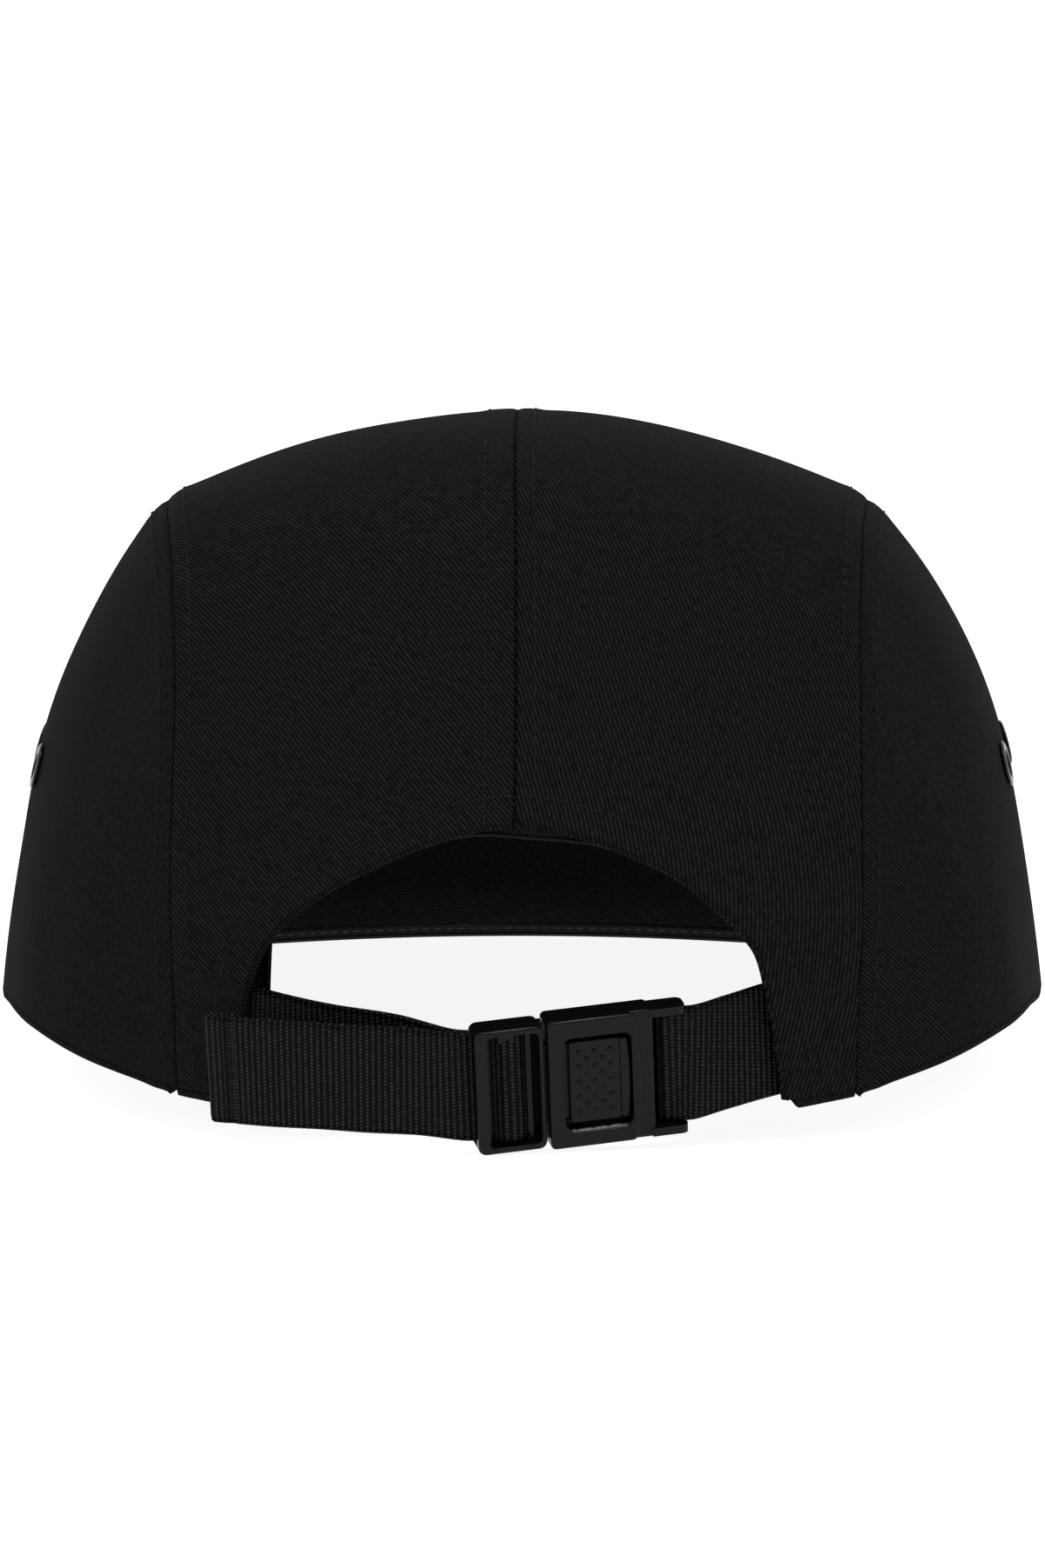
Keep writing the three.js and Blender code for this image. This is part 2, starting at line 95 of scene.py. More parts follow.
def countedPlace(tree, cloth, x, y):  # the place on the cloth, counted in steps of x and y
    steps = (1 / x, 1 / y, 0)
    scaled = addNode(tree, "VectorMath", {1: steps}, {0: cloth}, operation="MULTIPLY")[0]
    return addNode(tree, "SeparateXYZ", {}, {0: scaled})


def humps(tree, place, power):  # one hump between each whole number and the next
    turn = addNode(tree, "Math", {1: math.pi}, {0: place}, operation="MULTIPLY")[0]
    wave = addNode(tree, "Math", {}, {0: turn}, operation="SINE")[0]
    hump = addNode(tree, "Math", {}, {0: wave}, operation="ABSOLUTE")[0]
    return addNode(tree, "Math", {1: power}, {0: hump}, operation="POWER")[0]


def twillLinks(tree, paintedLightFoot=None):
    cloth = addNode(tree, "UVMap", uv_map="cloth")["UV"]  # millimetres, x across the wales
    stray = addNode(tree, "TexNoise", {"Scale": twill["drift"], "Detail": 3.0},
                    {"Vector": cloth})["Fac"]
    place = countedPlace(tree, cloth, twill["wale"], twill["floats"])
    across = addNode(tree, "Math", {1: twill["wander"]}, {0: stray, 2: place["X"]},
                     operation="MULTIPLY_ADD")[0]
    wale = humps(tree, across, twill["round"])
    row = addNode(tree, "Math", {}, {0: across}, operation="FLOOR")[0]
    own = addNode(tree, "Math", {1: twill["own"]}, {0: row}, operation="MULTIPLY")[0]
    yarnPlace = addNode(tree, "CombineXYZ", {}, {0: own, 1: place["Y"]})[0]
    yarn = addNode(tree, "TexNoise", {"Scale": 1.0, "Detail": 2.0, "Roughness": 0.7},
                   {"Vector": yarnPlace})["Fac"]
    dark, light = twill["lit"]
    lit = addNode(tree, "MapRange",
                  {"From Min": 0.3, "From Max": 0.7, "To Min": dark, "To Max": light},
                  {"Value": yarn})["Result"]
    shown = addNode(tree, "Math", {}, {0: wale, 1: lit}, operation="MULTIPLY")[0]
    colour = addNode(tree, "MixRGB", {1: tint(twill["furrow"]), 2: tint(twill["yarn"])},
                     {0: shown})[0]
    if paintedLightFoot:
        # painted light: the twill turns paler towards the sweatband's foot, as if lit from below
        place = addNode(tree, "SeparateXYZ", {}, {0: addNode(tree, "TexCoord")["Object"]})
        heights = {"From Min": paintedLightFoot["high"] * mm, "From Max": paintedLightFoot["low"] * mm}
        share = addNode(tree, "MapRange", heights, {"Value": place["Z"]})["Result"]
        pale = addNode(tree, "MixRGB", {1: tint(paintedLightFoot["furrow"]), 2: tint(paintedLightFoot["yarn"])},
                       {0: shown})[0]
        colour = addNode(tree, "MixRGB", {}, {0: share, 1: colour, 2: pale})[0]
    normal = addNode(tree, "Bump", {"Strength": 0.8, "Distance": twill["depth"] * mm},
                     {"Height": shown})[0]
    return {"Base Color": colour, "Normal": normal}


twillShader = {"Roughness": twill["roughness"], "Specular IOR Level": twill["specular"]}
cottonTwill = newMaterial("black_cotton_twill", twillShader, twillLinks)
# the sweatband's twill, with painted light that makes it paler towards its foot
twillWithPaintedLight = newMaterial("cotton_twill_painted_light_foot", twillShader,
                          lambda tree: twillLinks(tree, twill["paintedLightFoot"]))

# Polypropylene webbing: cross ribs with a row of small shiny picks along each, dark between them
webbing = {
    "rib": 0.93,
    "pick": 0.56,
    "ribRound": 4.2,  # the higher, the narrower the rib
    "pickRound": 2.6,
    "pickLow": 0.05,  # what is left of a rib between two picks
    "lit": (0.3, 1.4),  # the darkest and the lightest picks
    "crown": "#323232",
    "hollow": "#020202",
    "depth": 0.12,
    "roughness": 0.55,
    "specular": 0.05,
}


def webbingLinks(tree):
    strap = addNode(tree, "UVMap", uv_map="cloth")["UV"]  # millimetres, x along the strap
    place = countedPlace(tree, strap, webbing["rib"], webbing["pick"])
    rib = humps(tree, place["X"], webbing["ribRound"])
    row = addNode(tree, "Math", {}, {0: place["X"]}, operation="FLOOR")[0]
    across = addNode(tree, "Math", {1: 0.5}, {0: row, 2: place["Y"]},
                     operation="MULTIPLY_ADD")[0]  # every other row is half a pick further
    bead = humps(tree, across, webbing["pickRound"])
    pick = addNode(tree, "Math", {1: 1 - webbing["pickLow"], 2: webbing["pickLow"]}, {0: bead},
                   operation="MULTIPLY_ADD")[0]
    rise = addNode(tree, "Math", {}, {0: rib, 1: pick}, operation="MULTIPLY")[0]
    fuzz = addNode(tree, "TexNoise", {"Scale": 1.3, "Detail": 2.0}, {"Vector": strap})["Fac"]
    dark, light = webbing["lit"]
    uneven = addNode(tree, "MapRange",
                     {"From Min": 0.3, "From Max": 0.7, "To Min": dark, "To Max": light},
                     {"Value": fuzz})["Result"]
    shown = addNode(tree, "Math", {}, {0: rise, 1: uneven}, operation="MULTIPLY")[0]
    colour = addNode(tree, "MixRGB", {1: tint(webbing["hollow"]), 2: tint(webbing["crown"])},
                     {0: shown})[0]
    normal = addNode(tree, "Bump", {"Strength": 0.7, "Distance": webbing["depth"] * mm},
                     {"Height": shown})[0]
    return {"Base Color": colour, "Normal": normal}


ribbedWebbing = newMaterial("black_polypropylene_webbing", {
    "Roughness": webbing["roughness"], "Specular IOR Level": webbing["specular"],
}, webbingLinks)


# Acetal, moulded in a spark-eroded tool: an even matt black whose rounded edges catch a soft light
acetal = {
    "dark": "#060606",
    "light": "#0a0a0a",
    "grain": 5200.0,  # grains in a metre
    "cloud": 260.0,  # clouds in a metre, more and less glossy
    "roughness": (0.2, 0.28),
    "depth": 0.02,
    "ior": 1.48,
    "specular": 0.145,
}


def acetalLinks(tree):
    place = addNode(tree, "TexCoord")["Object"]
    grain = addNode(tree, "TexNoise", {"Scale": acetal["grain"], "Detail": 2.0},
                    {"Vector": place})["Fac"]
    cloud = addNode(tree, "TexNoise", {"Scale": acetal["cloud"], "Detail": 2.0},
                    {"Vector": place})["Fac"]
    glossy, matt = acetal["roughness"]
    rough = addNode(tree, "MapRange", {"To Min": glossy, "To Max": matt},
                    {"Value": cloud})["Result"]
    colour = addNode(tree, "MixRGB", {1: tint(acetal["dark"]), 2: tint(acetal["light"])},
                     {0: cloud})[0]
    normal = addNode(tree, "Bump", {"Strength": 0.25, "Distance": acetal["depth"] * mm},
                     {"Height": grain})[0]
    return {"Base Color": colour, "Roughness": rough, "Normal": normal}


mouldedAcetal = newMaterial("black_moulded_acetal", {
    "IOR": acetal["ior"], "Specular IOR Level": acetal["specular"],
}, acetalLinks)

# Stoved black enamel on brass: a glossy skin with slight orange peel
enamel = {"dark": "#040404", "light": "#090909", "peel": 900.0, "depth": 0.03,
          "roughness": 0.22, "specular": 0.22}


def enamelLinks(tree):
    place = addNode(tree, "TexCoord")["Object"]
    peel = addNode(tree, "TexNoise", {"Scale": enamel["peel"], "Detail": 1.0},
                   {"Vector": place})["Fac"]
    colour = addNode(tree, "MixRGB", {1: tint(enamel["dark"]), 2: tint(enamel["light"])},
                     {0: peel})[0]
    normal = addNode(tree, "Bump", {"Strength": 0.2, "Distance": enamel["depth"] * mm},
                     {"Height": peel})[0]
    return {"Base Color": colour, "Normal": normal}


blackEnamel = newMaterial("black_stoved_enamel", {
    "Roughness": enamel["roughness"], "Specular IOR Level": enamel["specular"],
}, enamelLinks)


# Core-spun sewing thread: two plies twisted together, about as dark as the cloth and smoother
def threadMaterial(name, dark, light):
    def threadLinks(tree):
        place = addNode(tree, "TexCoord")["Object"]
        twist = addNode(tree, "TexNoise", {"Scale": 2600.0, "Detail": 1.0},
                        {"Vector": place})["Fac"]
        return {"Base Color": addNode(tree, "MixRGB", {1: tint(dark), 2: tint(light)},
                                      {0: twist})[0]}

    return newMaterial(name, {"Roughness": 0.7, "Specular IOR Level": 0.04}, threadLinks)


sewingThread = threadMaterial("core_spun_thread", "#0a0a0a", "#202020")
# greyer, inside the sweatband
paleThread = threadMaterial("washed_core_spun_thread", "#303030", "#6a6a6a")

# Plain-woven cotton tape, paler than the twill, with a fine square weave
facing = {"dark": "#0c0c0c", "light": "#1e1e1e", "yarns": 2.4, "between": 0.4, "depth": 0.06,
          "roughness": 0.9, "specular": 0.04}


def tapeLinks(tree):
    cloth = addNode(tree, "UVMap", uv_map="cloth")["UV"]
    low = (*[facing["between"]] * 3, 1)
    weave = addNode(tree, "TexChecker",
                    {"Scale": facing["yarns"], "Color1": (1, 1, 1, 1), "Color2": low},
                    {"Vector": cloth})["Color"]
    colour = addNode(tree, "MixRGB", {1: tint(facing["dark"]), 2: tint(facing["light"])},
                     {0: weave})[0]
    normal = addNode(tree, "Bump", {"Strength": 0.4, "Distance": facing["depth"] * mm},
                     {"Height": weave})[0]
    return {"Base Color": colour, "Normal": normal}


facingTape = newMaterial("cotton_facing_tape", {
    "Roughness": facing["roughness"], "Specular IOR Level": facing["specular"],
}, tapeLinks)
print("materials made")


# ---- the crown's surface

crown = {
    "y": 32.5,  # the crown's middle
    # the crown sits this far to the left of its middle, and turns over between these ribs
    "lean": {"top": 0.5, "foot": -0.45, "from": 4.3, "to": 6.3},
    "wide": {1: 0.0, -1: 0.6},  # how much wider the left and the right sides are at the rim
    "seamRound": 3.0,
    "slope": {1: 51.5, -1: 46.5},  # of the sides where they leave the side seams, in degrees
    "flare": 6.0,  # of the sides where they reach the rim
    "reach": 0.39,
    "crossSeam": 2.85,
    "ribGap": 40.0,  # about how far apart two ribs are
    # ribs from the front rim to the back rim: middle y and z, side seam x, y and z, rim x, y and z
    "ribs": np.array([
        (-98, 8.2, 62, -73, 8.7, 62, -73, 8.7),
        (-91, 47.2, 61.5, -68.5, 41.2, 72, -57, 9.9),
        (-70, 80.2, 60.5, -52, 69.2, 80, -38, 11.2),
        (-36, 100.7, 58, -26, 87.9, 84.5, -17, 11.4),
        (4, 106.2, 56.8, 5, 92.4, 84, 5, 12),
        (43, 99.2, 54.8, 36, 87, 81.5, 27, 13.6),
        (74, 75, 53.4, 60, 66.8, 76.9, 47.5, 13.2),
        (92, 40.2, 53.5, 73, 37.7, 66.9, 64.5, 10.4),
        (97, 4.3, 52, 77, 6.9, 52, 77, 6.9),
    ], float),
}
lastRib = len(crown["ribs"]) - 1


def lerp(a, b, t):
    return a + (b - a) * t


def smooth(value, low, high):
    t = np.clip((value - low) / (high - low), 0, 1)
    return t * t * (3 - 2 * t)


def unit(vectors):
    return vectors / np.maximum(np.linalg.norm(vectors, axis=-1, keepdims=True), 1e-9)


def rowsAround(rows, u):  # the two rows before u and the two after it, and how far u is between
    last = len(rows) - 1
    ends = np.vstack([2 * rows[0] - rows[1], rows, 2 * rows[-1] - rows[-2]])
    place = np.clip(np.asarray(u, float), 0, 1) * last
    k = np.minimum(place.astype(int), last - 1)
    return [ends[k + n] for n in range(4)], (place - k)[..., None]


def throughRows(rows, u):  # a Catmull-Rom curve through the rows, u from 0 to 1
    (a, b, c, d), f = rowsAround(rows, u)
    return 0.5 * (2 * b + (c - a) * f + (2 * a - 5 * b + 4 * c - d) * f**2
                  + (3 * b - a - 3 * c + d) * f**3)


def ribAt(rib):
    row = throughRows(crown["ribs"], rib / lastRib)
    middle = np.stack([0 * row[..., 0], row[..., 0] + crown["y"], row[..., 1]], -1)
    return middle, row[..., 2:5] + (0, crown["y"], 0), row[..., 5:8] + (0, crown["y"], 0)


def leanAt(rib):
    lean = crown["lean"]
    return lerp(lean["top"], lean["foot"], smooth(rib, lean["from"], lean["to"]))


def halfWidth(rib):
    return ribAt(rib)[1][..., 0]


def sideDepth(rib):
    middle, seam, rim = ribAt(rib)
    return np.maximum(np.linalg.norm(rim - seam, axis=-1), 0.01)


def creased(rib, across):  # across is 0 on the middle, 1 on the left seam and 2 on the left rim
    middle, seam, rim = ribAt(rib)
    strip = middle + (seam - middle) * (across**2)[..., None]
    lean = leanAt(rib)
    strip[..., 0] = lean + seam[..., 0] * across
    hand = np.where(across < 0, -1.0, 1.0)
    # goes past the rim, so that rounding keeps the rim's place
    down = np.clip(np.abs(across) - 1, 0, 1.4)[..., None]
    out = unit((rim - seam) * (1, 1, 0))
    depth = np.linalg.norm(rim - seam, axis=-1, keepdims=True) * crown["reach"]
    slope = np.radians(np.where(hand > 0, crown["slope"][1], crown["slope"][-1]))[..., None]
    flare = math.radians(crown["flare"])
    leave = out * np.cos(slope) - np.sin(slope) * (0, 0, 1)
    meet = out * math.sin(flare) - math.cos(flare) * np.array((0, 0, 1.0))
    upper, lower = seam + leave * depth, rim - meet * depth
    side = ((1 - down)**3 * seam + 3 * (1 - down)**2 * down * upper
            + 3 * (1 - down) * down**2 * lower + down**3 * rim)
    wide = np.where(hand > 0, crown["wide"][1], crown["wide"][-1])
    side[..., 0] = hand * (side[..., 0] + wide * down[..., 0]) + lean * (1 - down[..., 0])
    return np.where((np.abs(across) <= 1)[..., None], strip, side)


def crownPoint(rib, across):  # the same with the crease at the side seams rounded off
    rib, across = np.broadcast_arrays(np.asarray(rib, float), np.asarray(across, float))
    rib = np.clip(rib, 0, lastRib)
    hand = np.where(across < 0, -1.0, 1.0)
    size = np.abs(across)
    half, depth = halfWidth(rib), sideDepth(rib)
    signed = np.where(size <= 1, (size - 1) * half, (size - 1) * depth)
    reach = crown["seamRound"] * np.clip(1 - np.abs(signed) / (5 * crown["seamRound"]), 0, 1)
    step = np.minimum(reach, depth / 5)
    total = 0
    for weight, k in zip((1, 2, 3, 2, 1), range(-2, 3)):  # the mean of five places across it
        away = signed + k * step
        moved = hand * (1 + away / np.where(away <= 0, half, depth))
        total = total + weight / 9 * creased(rib, moved)
    return total


def crownInward(rib, across):
    rib, across = np.broadcast_arrays(np.asarray(rib, float), np.asarray(across, float))
    rib, across, step = np.clip(rib, 0.12, lastRib - 0.12), np.clip(across, -1.97, 1.97), 0.02
    along = crownPoint(rib + step, across) - crownPoint(rib - step, across)
    over = crownPoint(rib, across + step) - crownPoint(rib, across - step)
    return unit(np.cross(along, over))


# ---- the arch at the back

arch = {
    "halfWidth": 38.7, "top": 47.9, "height": 27.6,
    "knee": {1: 50.0, -1: 72.0}, "leg": {1: 0.56, -1: 0.42},  # where the bow turns into the legs
    "blend": 0.06,  # how soon it does
    "spread": {1: 2.5, -1: 2.9}, "bend": {1: 5.6, -1: 2.2}, "hollow": 1.4,  # of the legs
    "dip": 1.35, "dipAt": 31.5, "dipWidth": 5.5,  # the bow's flat shoulder on the wearer's right
    "point": 0.78,  # how much higher than an ellipse the top is, and lower the shoulders
    "pointWave": 22.0, "pointStop": (24, 36),
    "shift": -0.6, "shiftStop": (0.45, 0.8),  # of its bow, towards the wearer's right
}


def archBow(angle, grow=0.0, hand=1):  # x and z of the arch's bow at an angle from its top
    x = arch["halfWidth"] * np.sin(angle)
    point = arch["point"] * np.cos(math.pi * x / arch["pointWave"])
    point = point * (1 - smooth(np.abs(x), *arch["pointStop"]))
    dip = arch["dip"] * np.exp(-((hand * x + arch["dipAt"]) / arch["dipWidth"])**2)
    middle = arch["top"] - arch["height"]
    z = middle + point - dip + (arch["height"] + grow) * np.cos(angle)
    return x + grow * np.sin(angle), z


def archLine(turn, grow, hand):  # x and z of its edge, from its top at 0 to the rim at 1
    turn = np.asarray(turn, float)
    knee = math.radians(arch["knee"][hand])
    kneeX, kneeZ = archBow(knee, 0, hand)
    start = 1 - arch["leg"][hand]
    spread = arch["halfWidth"] + arch["spread"][hand]

    def edge(t):
        bowed = np.stack(archBow(knee * t / start, 0, hand), -1)
        leg = np.clip((t - start) / (1 - start), -0.3, 1)
        bent = (kneeX - spread) * (1 - leg)**arch["bend"][hand]
        legX = spread + bent - arch["hollow"] * leg * (1 - leg)
        straight = np.stack([legX, kneeZ * (1 - leg)], -1)
        blend = smooth(t, start - arch["blend"], start + arch["blend"])
        return lerp(bowed, straight, blend[..., None])

    way = unit(edge(turn + 0.003) - edge(turn - 0.003))
    return edge(turn) + grow * np.stack([-way[..., 1], way[..., 0]], -1)


def onBack(x, z):  # the rib and the place across where the crown's back has this x and z
    low, high = np.full(np.shape(x), 5.0), np.full(np.shape(x), float(lastRib))
    for _ in range(26):
        rib = (low + high) / 2
        across = (x - leanAt(rib)) / halfWidth(rib)
        above = crownPoint(rib, across)[..., 2] > z
        low, high = np.where(above, rib, low), np.where(above, high, rib)
    return rib, across


def archPlace(turn, grow, hand):  # the same on the crown, as a rib and a place across
    edge = archLine(turn, grow, hand)
    shift = arch["shift"] * (1 - smooth(np.asarray(turn, float), *arch["shiftStop"]))
    return onBack(hand * edge[..., 0] + shift, edge[..., 1])


archTurns = np.linspace(0, 1, 260)
archPoints = np.vstack([crownPoint(*archPlace(archTurns, 0.0, hand)) for hand in (1, -1)])


# ---- how the cloth stands off that surface at its seams

seams = {
    # how far each row of stitches is from its seam
    "row": {"side": 3.0, "centreLeft": 4.6, "centreRight": 2.9, "cross": 3.0, "hem": 4.7},
    "hemStop": {1: 0.6, -1: 5.0},  # how far above the arch the rows beside the middle seam stop
    # what the seam allowance under the cloth lifts it, and where that ends, from the row
    "rise": 0.22, "riseFrom": -0.1, "riseTo": 1.6,
    "dip": 0.24, "dipWidth": 0.55,  # how deep the cloth turns in at the seam itself
    "bite": 0.09, "biteWidth": 0.42,  # how deep a row of stitches pulls the cloth in
    "pucker": 0.03, "puckerWidth": 0.9,  # at each stitch
    "crease": 0.07, "creaseAt": 1.2, "creaseWidth": 1.8,  # longer ones beyond the row
    "slack": 0.16, "smallSlack": 0.1,  # waves of the open cloth
    "stitch": 2.7,
}


def nearest(points, line):  # distance from each point to the nearest one of a line
    flat = points.reshape(-1, 3)
    best = np.full(len(flat), 1e9)
    for start in range(0, len(line), 40):
        gap = np.linalg.norm(flat[:, None] - line[None, start:start + 40], axis=-1)
        best = np.minimum(best, gap.min(1))
    return best.reshape(points.shape[:-1])


def bump(away, width):
    return np.exp(-(away / width)**2)


def allowance(away, row, along, dip=1.0):
    # raised from the seam to its row of stitches, turned in at the seam, bitten at the row
    raised = seams["rise"] * (1 - smooth(away, row + seams["riseFrom"], row + seams["riseTo"]))
    turned = dip * seams["dip"] * bump(away, seams["dipWidth"])
    bitten = seams["bite"] * bump(away - row, seams["biteWidth"])
    pucker = seams["pucker"] * np.cos(2 * math.pi * along / seams["stitch"])
    pucker = pucker * bump(away - row, seams["puckerWidth"])
    crease = seams["crease"] * np.sin(along / 1.9 + 1.3 * np.sin(along / 7.7))
    crease = crease * bump(away - row - seams["creaseAt"], seams["creaseWidth"])
    return raised - turned - bitten + pucker + crease


def standOff(rib, across):
    points = crownPoint(rib, across)
    x, y, z = points[..., 0], points[..., 1], points[..., 2]
    size, row = np.abs(across), seams["row"]
    strip = size <= 1
    sideAway = np.where(strip, (1 - size) * halfWidth(rib), (size - 1) * sideDepth(rib))
    total = allowance(sideAway, row["side"], rib * crown["ribGap"] + 3 * np.sign(across))
    crossAway = np.abs(rib - crown["crossSeam"]) * crown["ribGap"]
    total = total + np.where(strip, allowance(crossAway, row["cross"], x), 0)
    back = strip & (rib > crown["crossSeam"])
    centreRow = np.where(across > 0, row["centreLeft"], row["centreRight"])
    total = total + np.where(back, allowance(size * halfWidth(rib), centreRow, z + y), 0)
    hem = allowance(nearest(points, archPoints), row["hem"], x * 1.2, 0.0)
    total = total + np.where(strip & (rib > 5), hem, 0)
    slack = seams["slack"] * np.sin(x / 13 + z / 19) * np.sin(y / 17 - z / 11 + 0.4)
    slack = slack + seams["smallSlack"] * np.sin(x / 7.1 - z / 8.3 + y / 9.7)
    return np.minimum(total, 2 * seams["rise"]) + slack


def clothSurface(rib, across):
    rib, across = np.broadcast_arrays(np.asarray(rib, float), np.asarray(across, float))
    inward = crownInward(rib, across)
    return crownPoint(rib, across) - inward * standOff(rib, across)[..., None], inward


# ---- meshes from grids

def newPiece(name, points, faces):
    made = bpy.data.meshes.new(name)
    made.from_pydata((points * mm).tolist(), [], faces)
    made.polygons.foreach_set("use_smooth", np.ones(len(made.polygons), bool))
    piece = bpy.data.objects.new(name, made)
    bpy.context.scene.collection.objects.link(piece)
    return piece


def gridFaces(rows, columns):
    number = np.arange(rows * columns).reshape(rows, columns)
    corners = number[:-1, :-1], number[1:, :-1], number[1:, 1:], number[:-1, 1:]
    return number, np.stack(corners, -1).reshape(-1, 4)


def pushed(values, edges):  # how far each edge of the grid moves away from the rest of it
    push = np.zeros_like(values)
    push[0] += unit(values[0] - values[1]) * edges[0]
    push[-1] += unit(values[-1] - values[-2]) * edges[1]
    push[:, 0] += unit(values[:, 0] - values[:, 1]) * edges[2]
    push[:, -1] += unit(values[:, -1] - values[:, -2]) * edges[3]
    return push


def shell(name, outer, inner, uv, edges, rounds=4):
    # A sheet between two grids of points. Its four edges are rounded, and each stands out by what
    # edges says, in the order: first row, last row, first column, last column.
    rows, columns = outer.shape[:2]
    number, quads = gridFaces(rows, columns)
    border = np.concatenate([number[0, :-1], number[:-1, -1], number[-1, :0:-1], number[:0:-1, 0]])
    push = pushed((outer + inner) / 2, edges)
    flatOuter, flatInner, flatPush = (g.reshape(-1, 3) for g in (outer, inner, push))
    flatUv, flatUvPush = uv.reshape(-1, 2), pushed(uv, edges).reshape(-1, 2)
    points, uvs = [flatOuter, flatInner], [flatUv] * 2
    faces = [quads, quads[:, ::-1] + rows * columns]
    before = border
    for k in range(1, rounds + 1):
        turn = math.pi * k / rounds
        if k < rounds:
            share = (1 - math.cos(turn)) / 2
            ring = (flatOuter[border] * (1 - share) + flatInner[border] * share
                    + flatPush[border] * math.sin(turn))
            ids = sum(len(p) for p in points) + np.arange(len(border))
            points.append(ring)
            uvs.append(flatUv[border] + 1.3 * flatUvPush[border] * math.sin(turn))
        else:
            ids = border + rows * columns
        faces.append(np.stack([before, ids, np.roll(ids, -1), np.roll(before, -1)], -1))
        before = ids
    points, faces = np.vstack(points), np.vstack(faces)
    a, b, c = points[faces[:, 0]], points[faces[:, 1]], points[faces[:, 2]]
    if (a * np.cross(b - a, c - a)).sum() < 0:
        faces = faces[:, ::-1]
    piece = newPiece(name, points, faces.tolist())
    layer = piece.data.uv_layers.new(name="cloth")
    corners = np.zeros(len(piece.data.loops), int)
    piece.data.loops.foreach_get("vertex_index", corners)
    layer.data.foreach_set("uv", np.vstack(uvs)[corners].ravel())
    piece.data.validate()
    return piece


def finish(piece, material, slot, *nodes):
    piece.data.materials.clear()
    piece.data.materials.append(material)
    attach(piece, "root")
    if nodes:
        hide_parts(*nodes)
    return piece


# ---- stitches: one is modelled, and the rows are made of copies of it

thread = {"width": 0.32, "length": 1.95, "sides": 6, "cuts": 5, "lift": 0.17, "sink": 0.08,
          "thin": 0.6}  # the share of its width at its ends


def selectEdges(piece, test):
    # opens the piece and selects the edges that pass a test of their middle in mm and their way
    bpy.context.view_layer.objects.active = piece
    bpy.ops.object.mode_set(mode="EDIT")
    bpy.ops.mesh.select_mode(type="EDGE")
    bpy.ops.mesh.select_all(action="DESELECT")
    mesh = bmesh.from_edit_mesh(piece.data)
    for edge in mesh.edges:
        start, end = (v.co for v in edge.verts)
        edge.select_set(test((start + end) / 2 / mm, (end - start).normalized()))
    bmesh.update_edit_mesh(piece.data)


def makeStitch():
    bpy.ops.mesh.primitive_cylinder_add(vertices=thread["sides"], radius=0.5, depth=1,
                                        rotation=(0, math.pi / 2, 0))
    piece = bpy.context.object
    bpy.ops.object.transform_apply(location=False, rotation=True, scale=False)
    selectEdges(piece, lambda at, way: abs(way.x) > 0.5)
    bpy.ops.mesh.subdivide(number_cuts=thread["cuts"])
    bpy.ops.object.mode_set(mode="OBJECT")
    points = np.array([v.co[:] for v in piece.data.vertices])
    faces = [list(p.vertices) for p in piece.data.polygons]
    bpy.data.objects.remove(piece, do_unlink=True)
    arc = np.clip(np.cos(math.pi * points[:, 0]), 0, 1)
    width = thread["width"] * (thread["thin"] + (1 - thread["thin"]) * arc**0.5)
    height = points[:, 2] * width + thread["lift"] * arc - thread["sink"]
    return np.stack([points[:, 0] * thread["length"], points[:, 1] * width, height], -1), faces


stitchPoints, stitchFaces = makeStitch()


def alongLine(line):  # how far each point is from the start of the line
    steps = np.linalg.norm(np.diff(line, axis=0), axis=1)
    return np.concatenate([[0], np.cumsum(steps)])


def readAt(distance, at, values):
    return np.stack([np.interp(distance, at, values[:, k]) for k in range(3)], -1)


def stitchRow(line, outward, pitch=seams["stitch"], scale=1.0):
    # copies of the stitch along a line of surface points, with the way out of the surface at each
    at = alongLine(line)
    count = int(at[-1] / pitch)
    middles = (np.arange(count) + 0.5) * at[-1] / count
    place, out = readAt(middles, at, line), unit(readAt(middles, at, outward))
    along = unit(readAt(middles + 0.5, at, line) - readAt(middles - 0.5, at, line))
    side = unit(np.cross(out, along))
    out = np.cross(along, side)
    x, y, z = (stitchPoints[None, :, k:k + 1] for k in range(3))
    points = place[:, None] + scale * (x * along[:, None] + y * side[:, None] + z * out[:, None])
    return points.reshape(-1, 3), count


def sewn(name, rows, slot="cotton_twill", material=sewingThread):
    stitches = range(sum(count for _, count in rows))
    faces = [[i + k * len(stitchPoints) for i in face] for k in stitches for face in stitchFaces]
    piece = newPiece(name, np.vstack([points for points, _ in rows]), faces)
    return finish(piece, material, slot)


def rowOnCrown(rib, across):
    points, inward = clothSurface(rib, across)
    return stitchRow(points, -inward)


# ---- panels of the crown

panel = {
    "thick": 1.2,
    "seamGap": 0.08, "butt": 0.12,  # the grids stop short of a seam, and their edges meet in it
    "fold": 0.6, "foot": 1.2, "corner": 1.6,  # the turned edges at the arch and the rim
    "half": 56,  # about half the width of the strip between the side seams
    "grain": 45,  # the angle of the front panel's wales
    "archShare": 0.5,  # the share of a back panel's rows that follow the arch
    "spread": 0.9,  # under 1 the rows are further apart at the top of the outer edge
    "cornerFrom": 0.93,  # the share of the rows where the foot of the arch begins to round
    # how far the wales of the back stray to the left per mm of height: at the foot, less per mm,
    # and up to where
    "wales": {1: (1.1, 0.006, 83.0), -1: (-0.415, -0.0135, 53.0)},
    "hangFrom": 4.4, "hangTo": 5.8,  # the ribs where the back's cloth begins to hang
    "waleMiddle": 0.7,  # the wales are as fine as the others at this share of that height
    "sideWales": {1: 60, -1: -42},
    "sideFine": {1: 1.3, -1: 1.0},  # the left side's wales hardly show
    "sideOval": (83, 97),  # the half width and half length of the crown's foot
    "sideFlat": (90, 1.1),  # mm of flat cloth for each radian round it, and for each mm up
}
hands = ((1, "left"), (-1, "right"))


def clothGrid(rib, across):
    outer, inward = clothSurface(rib, across)
    return outer, crownPoint(rib, across) + inward * panel["thick"]


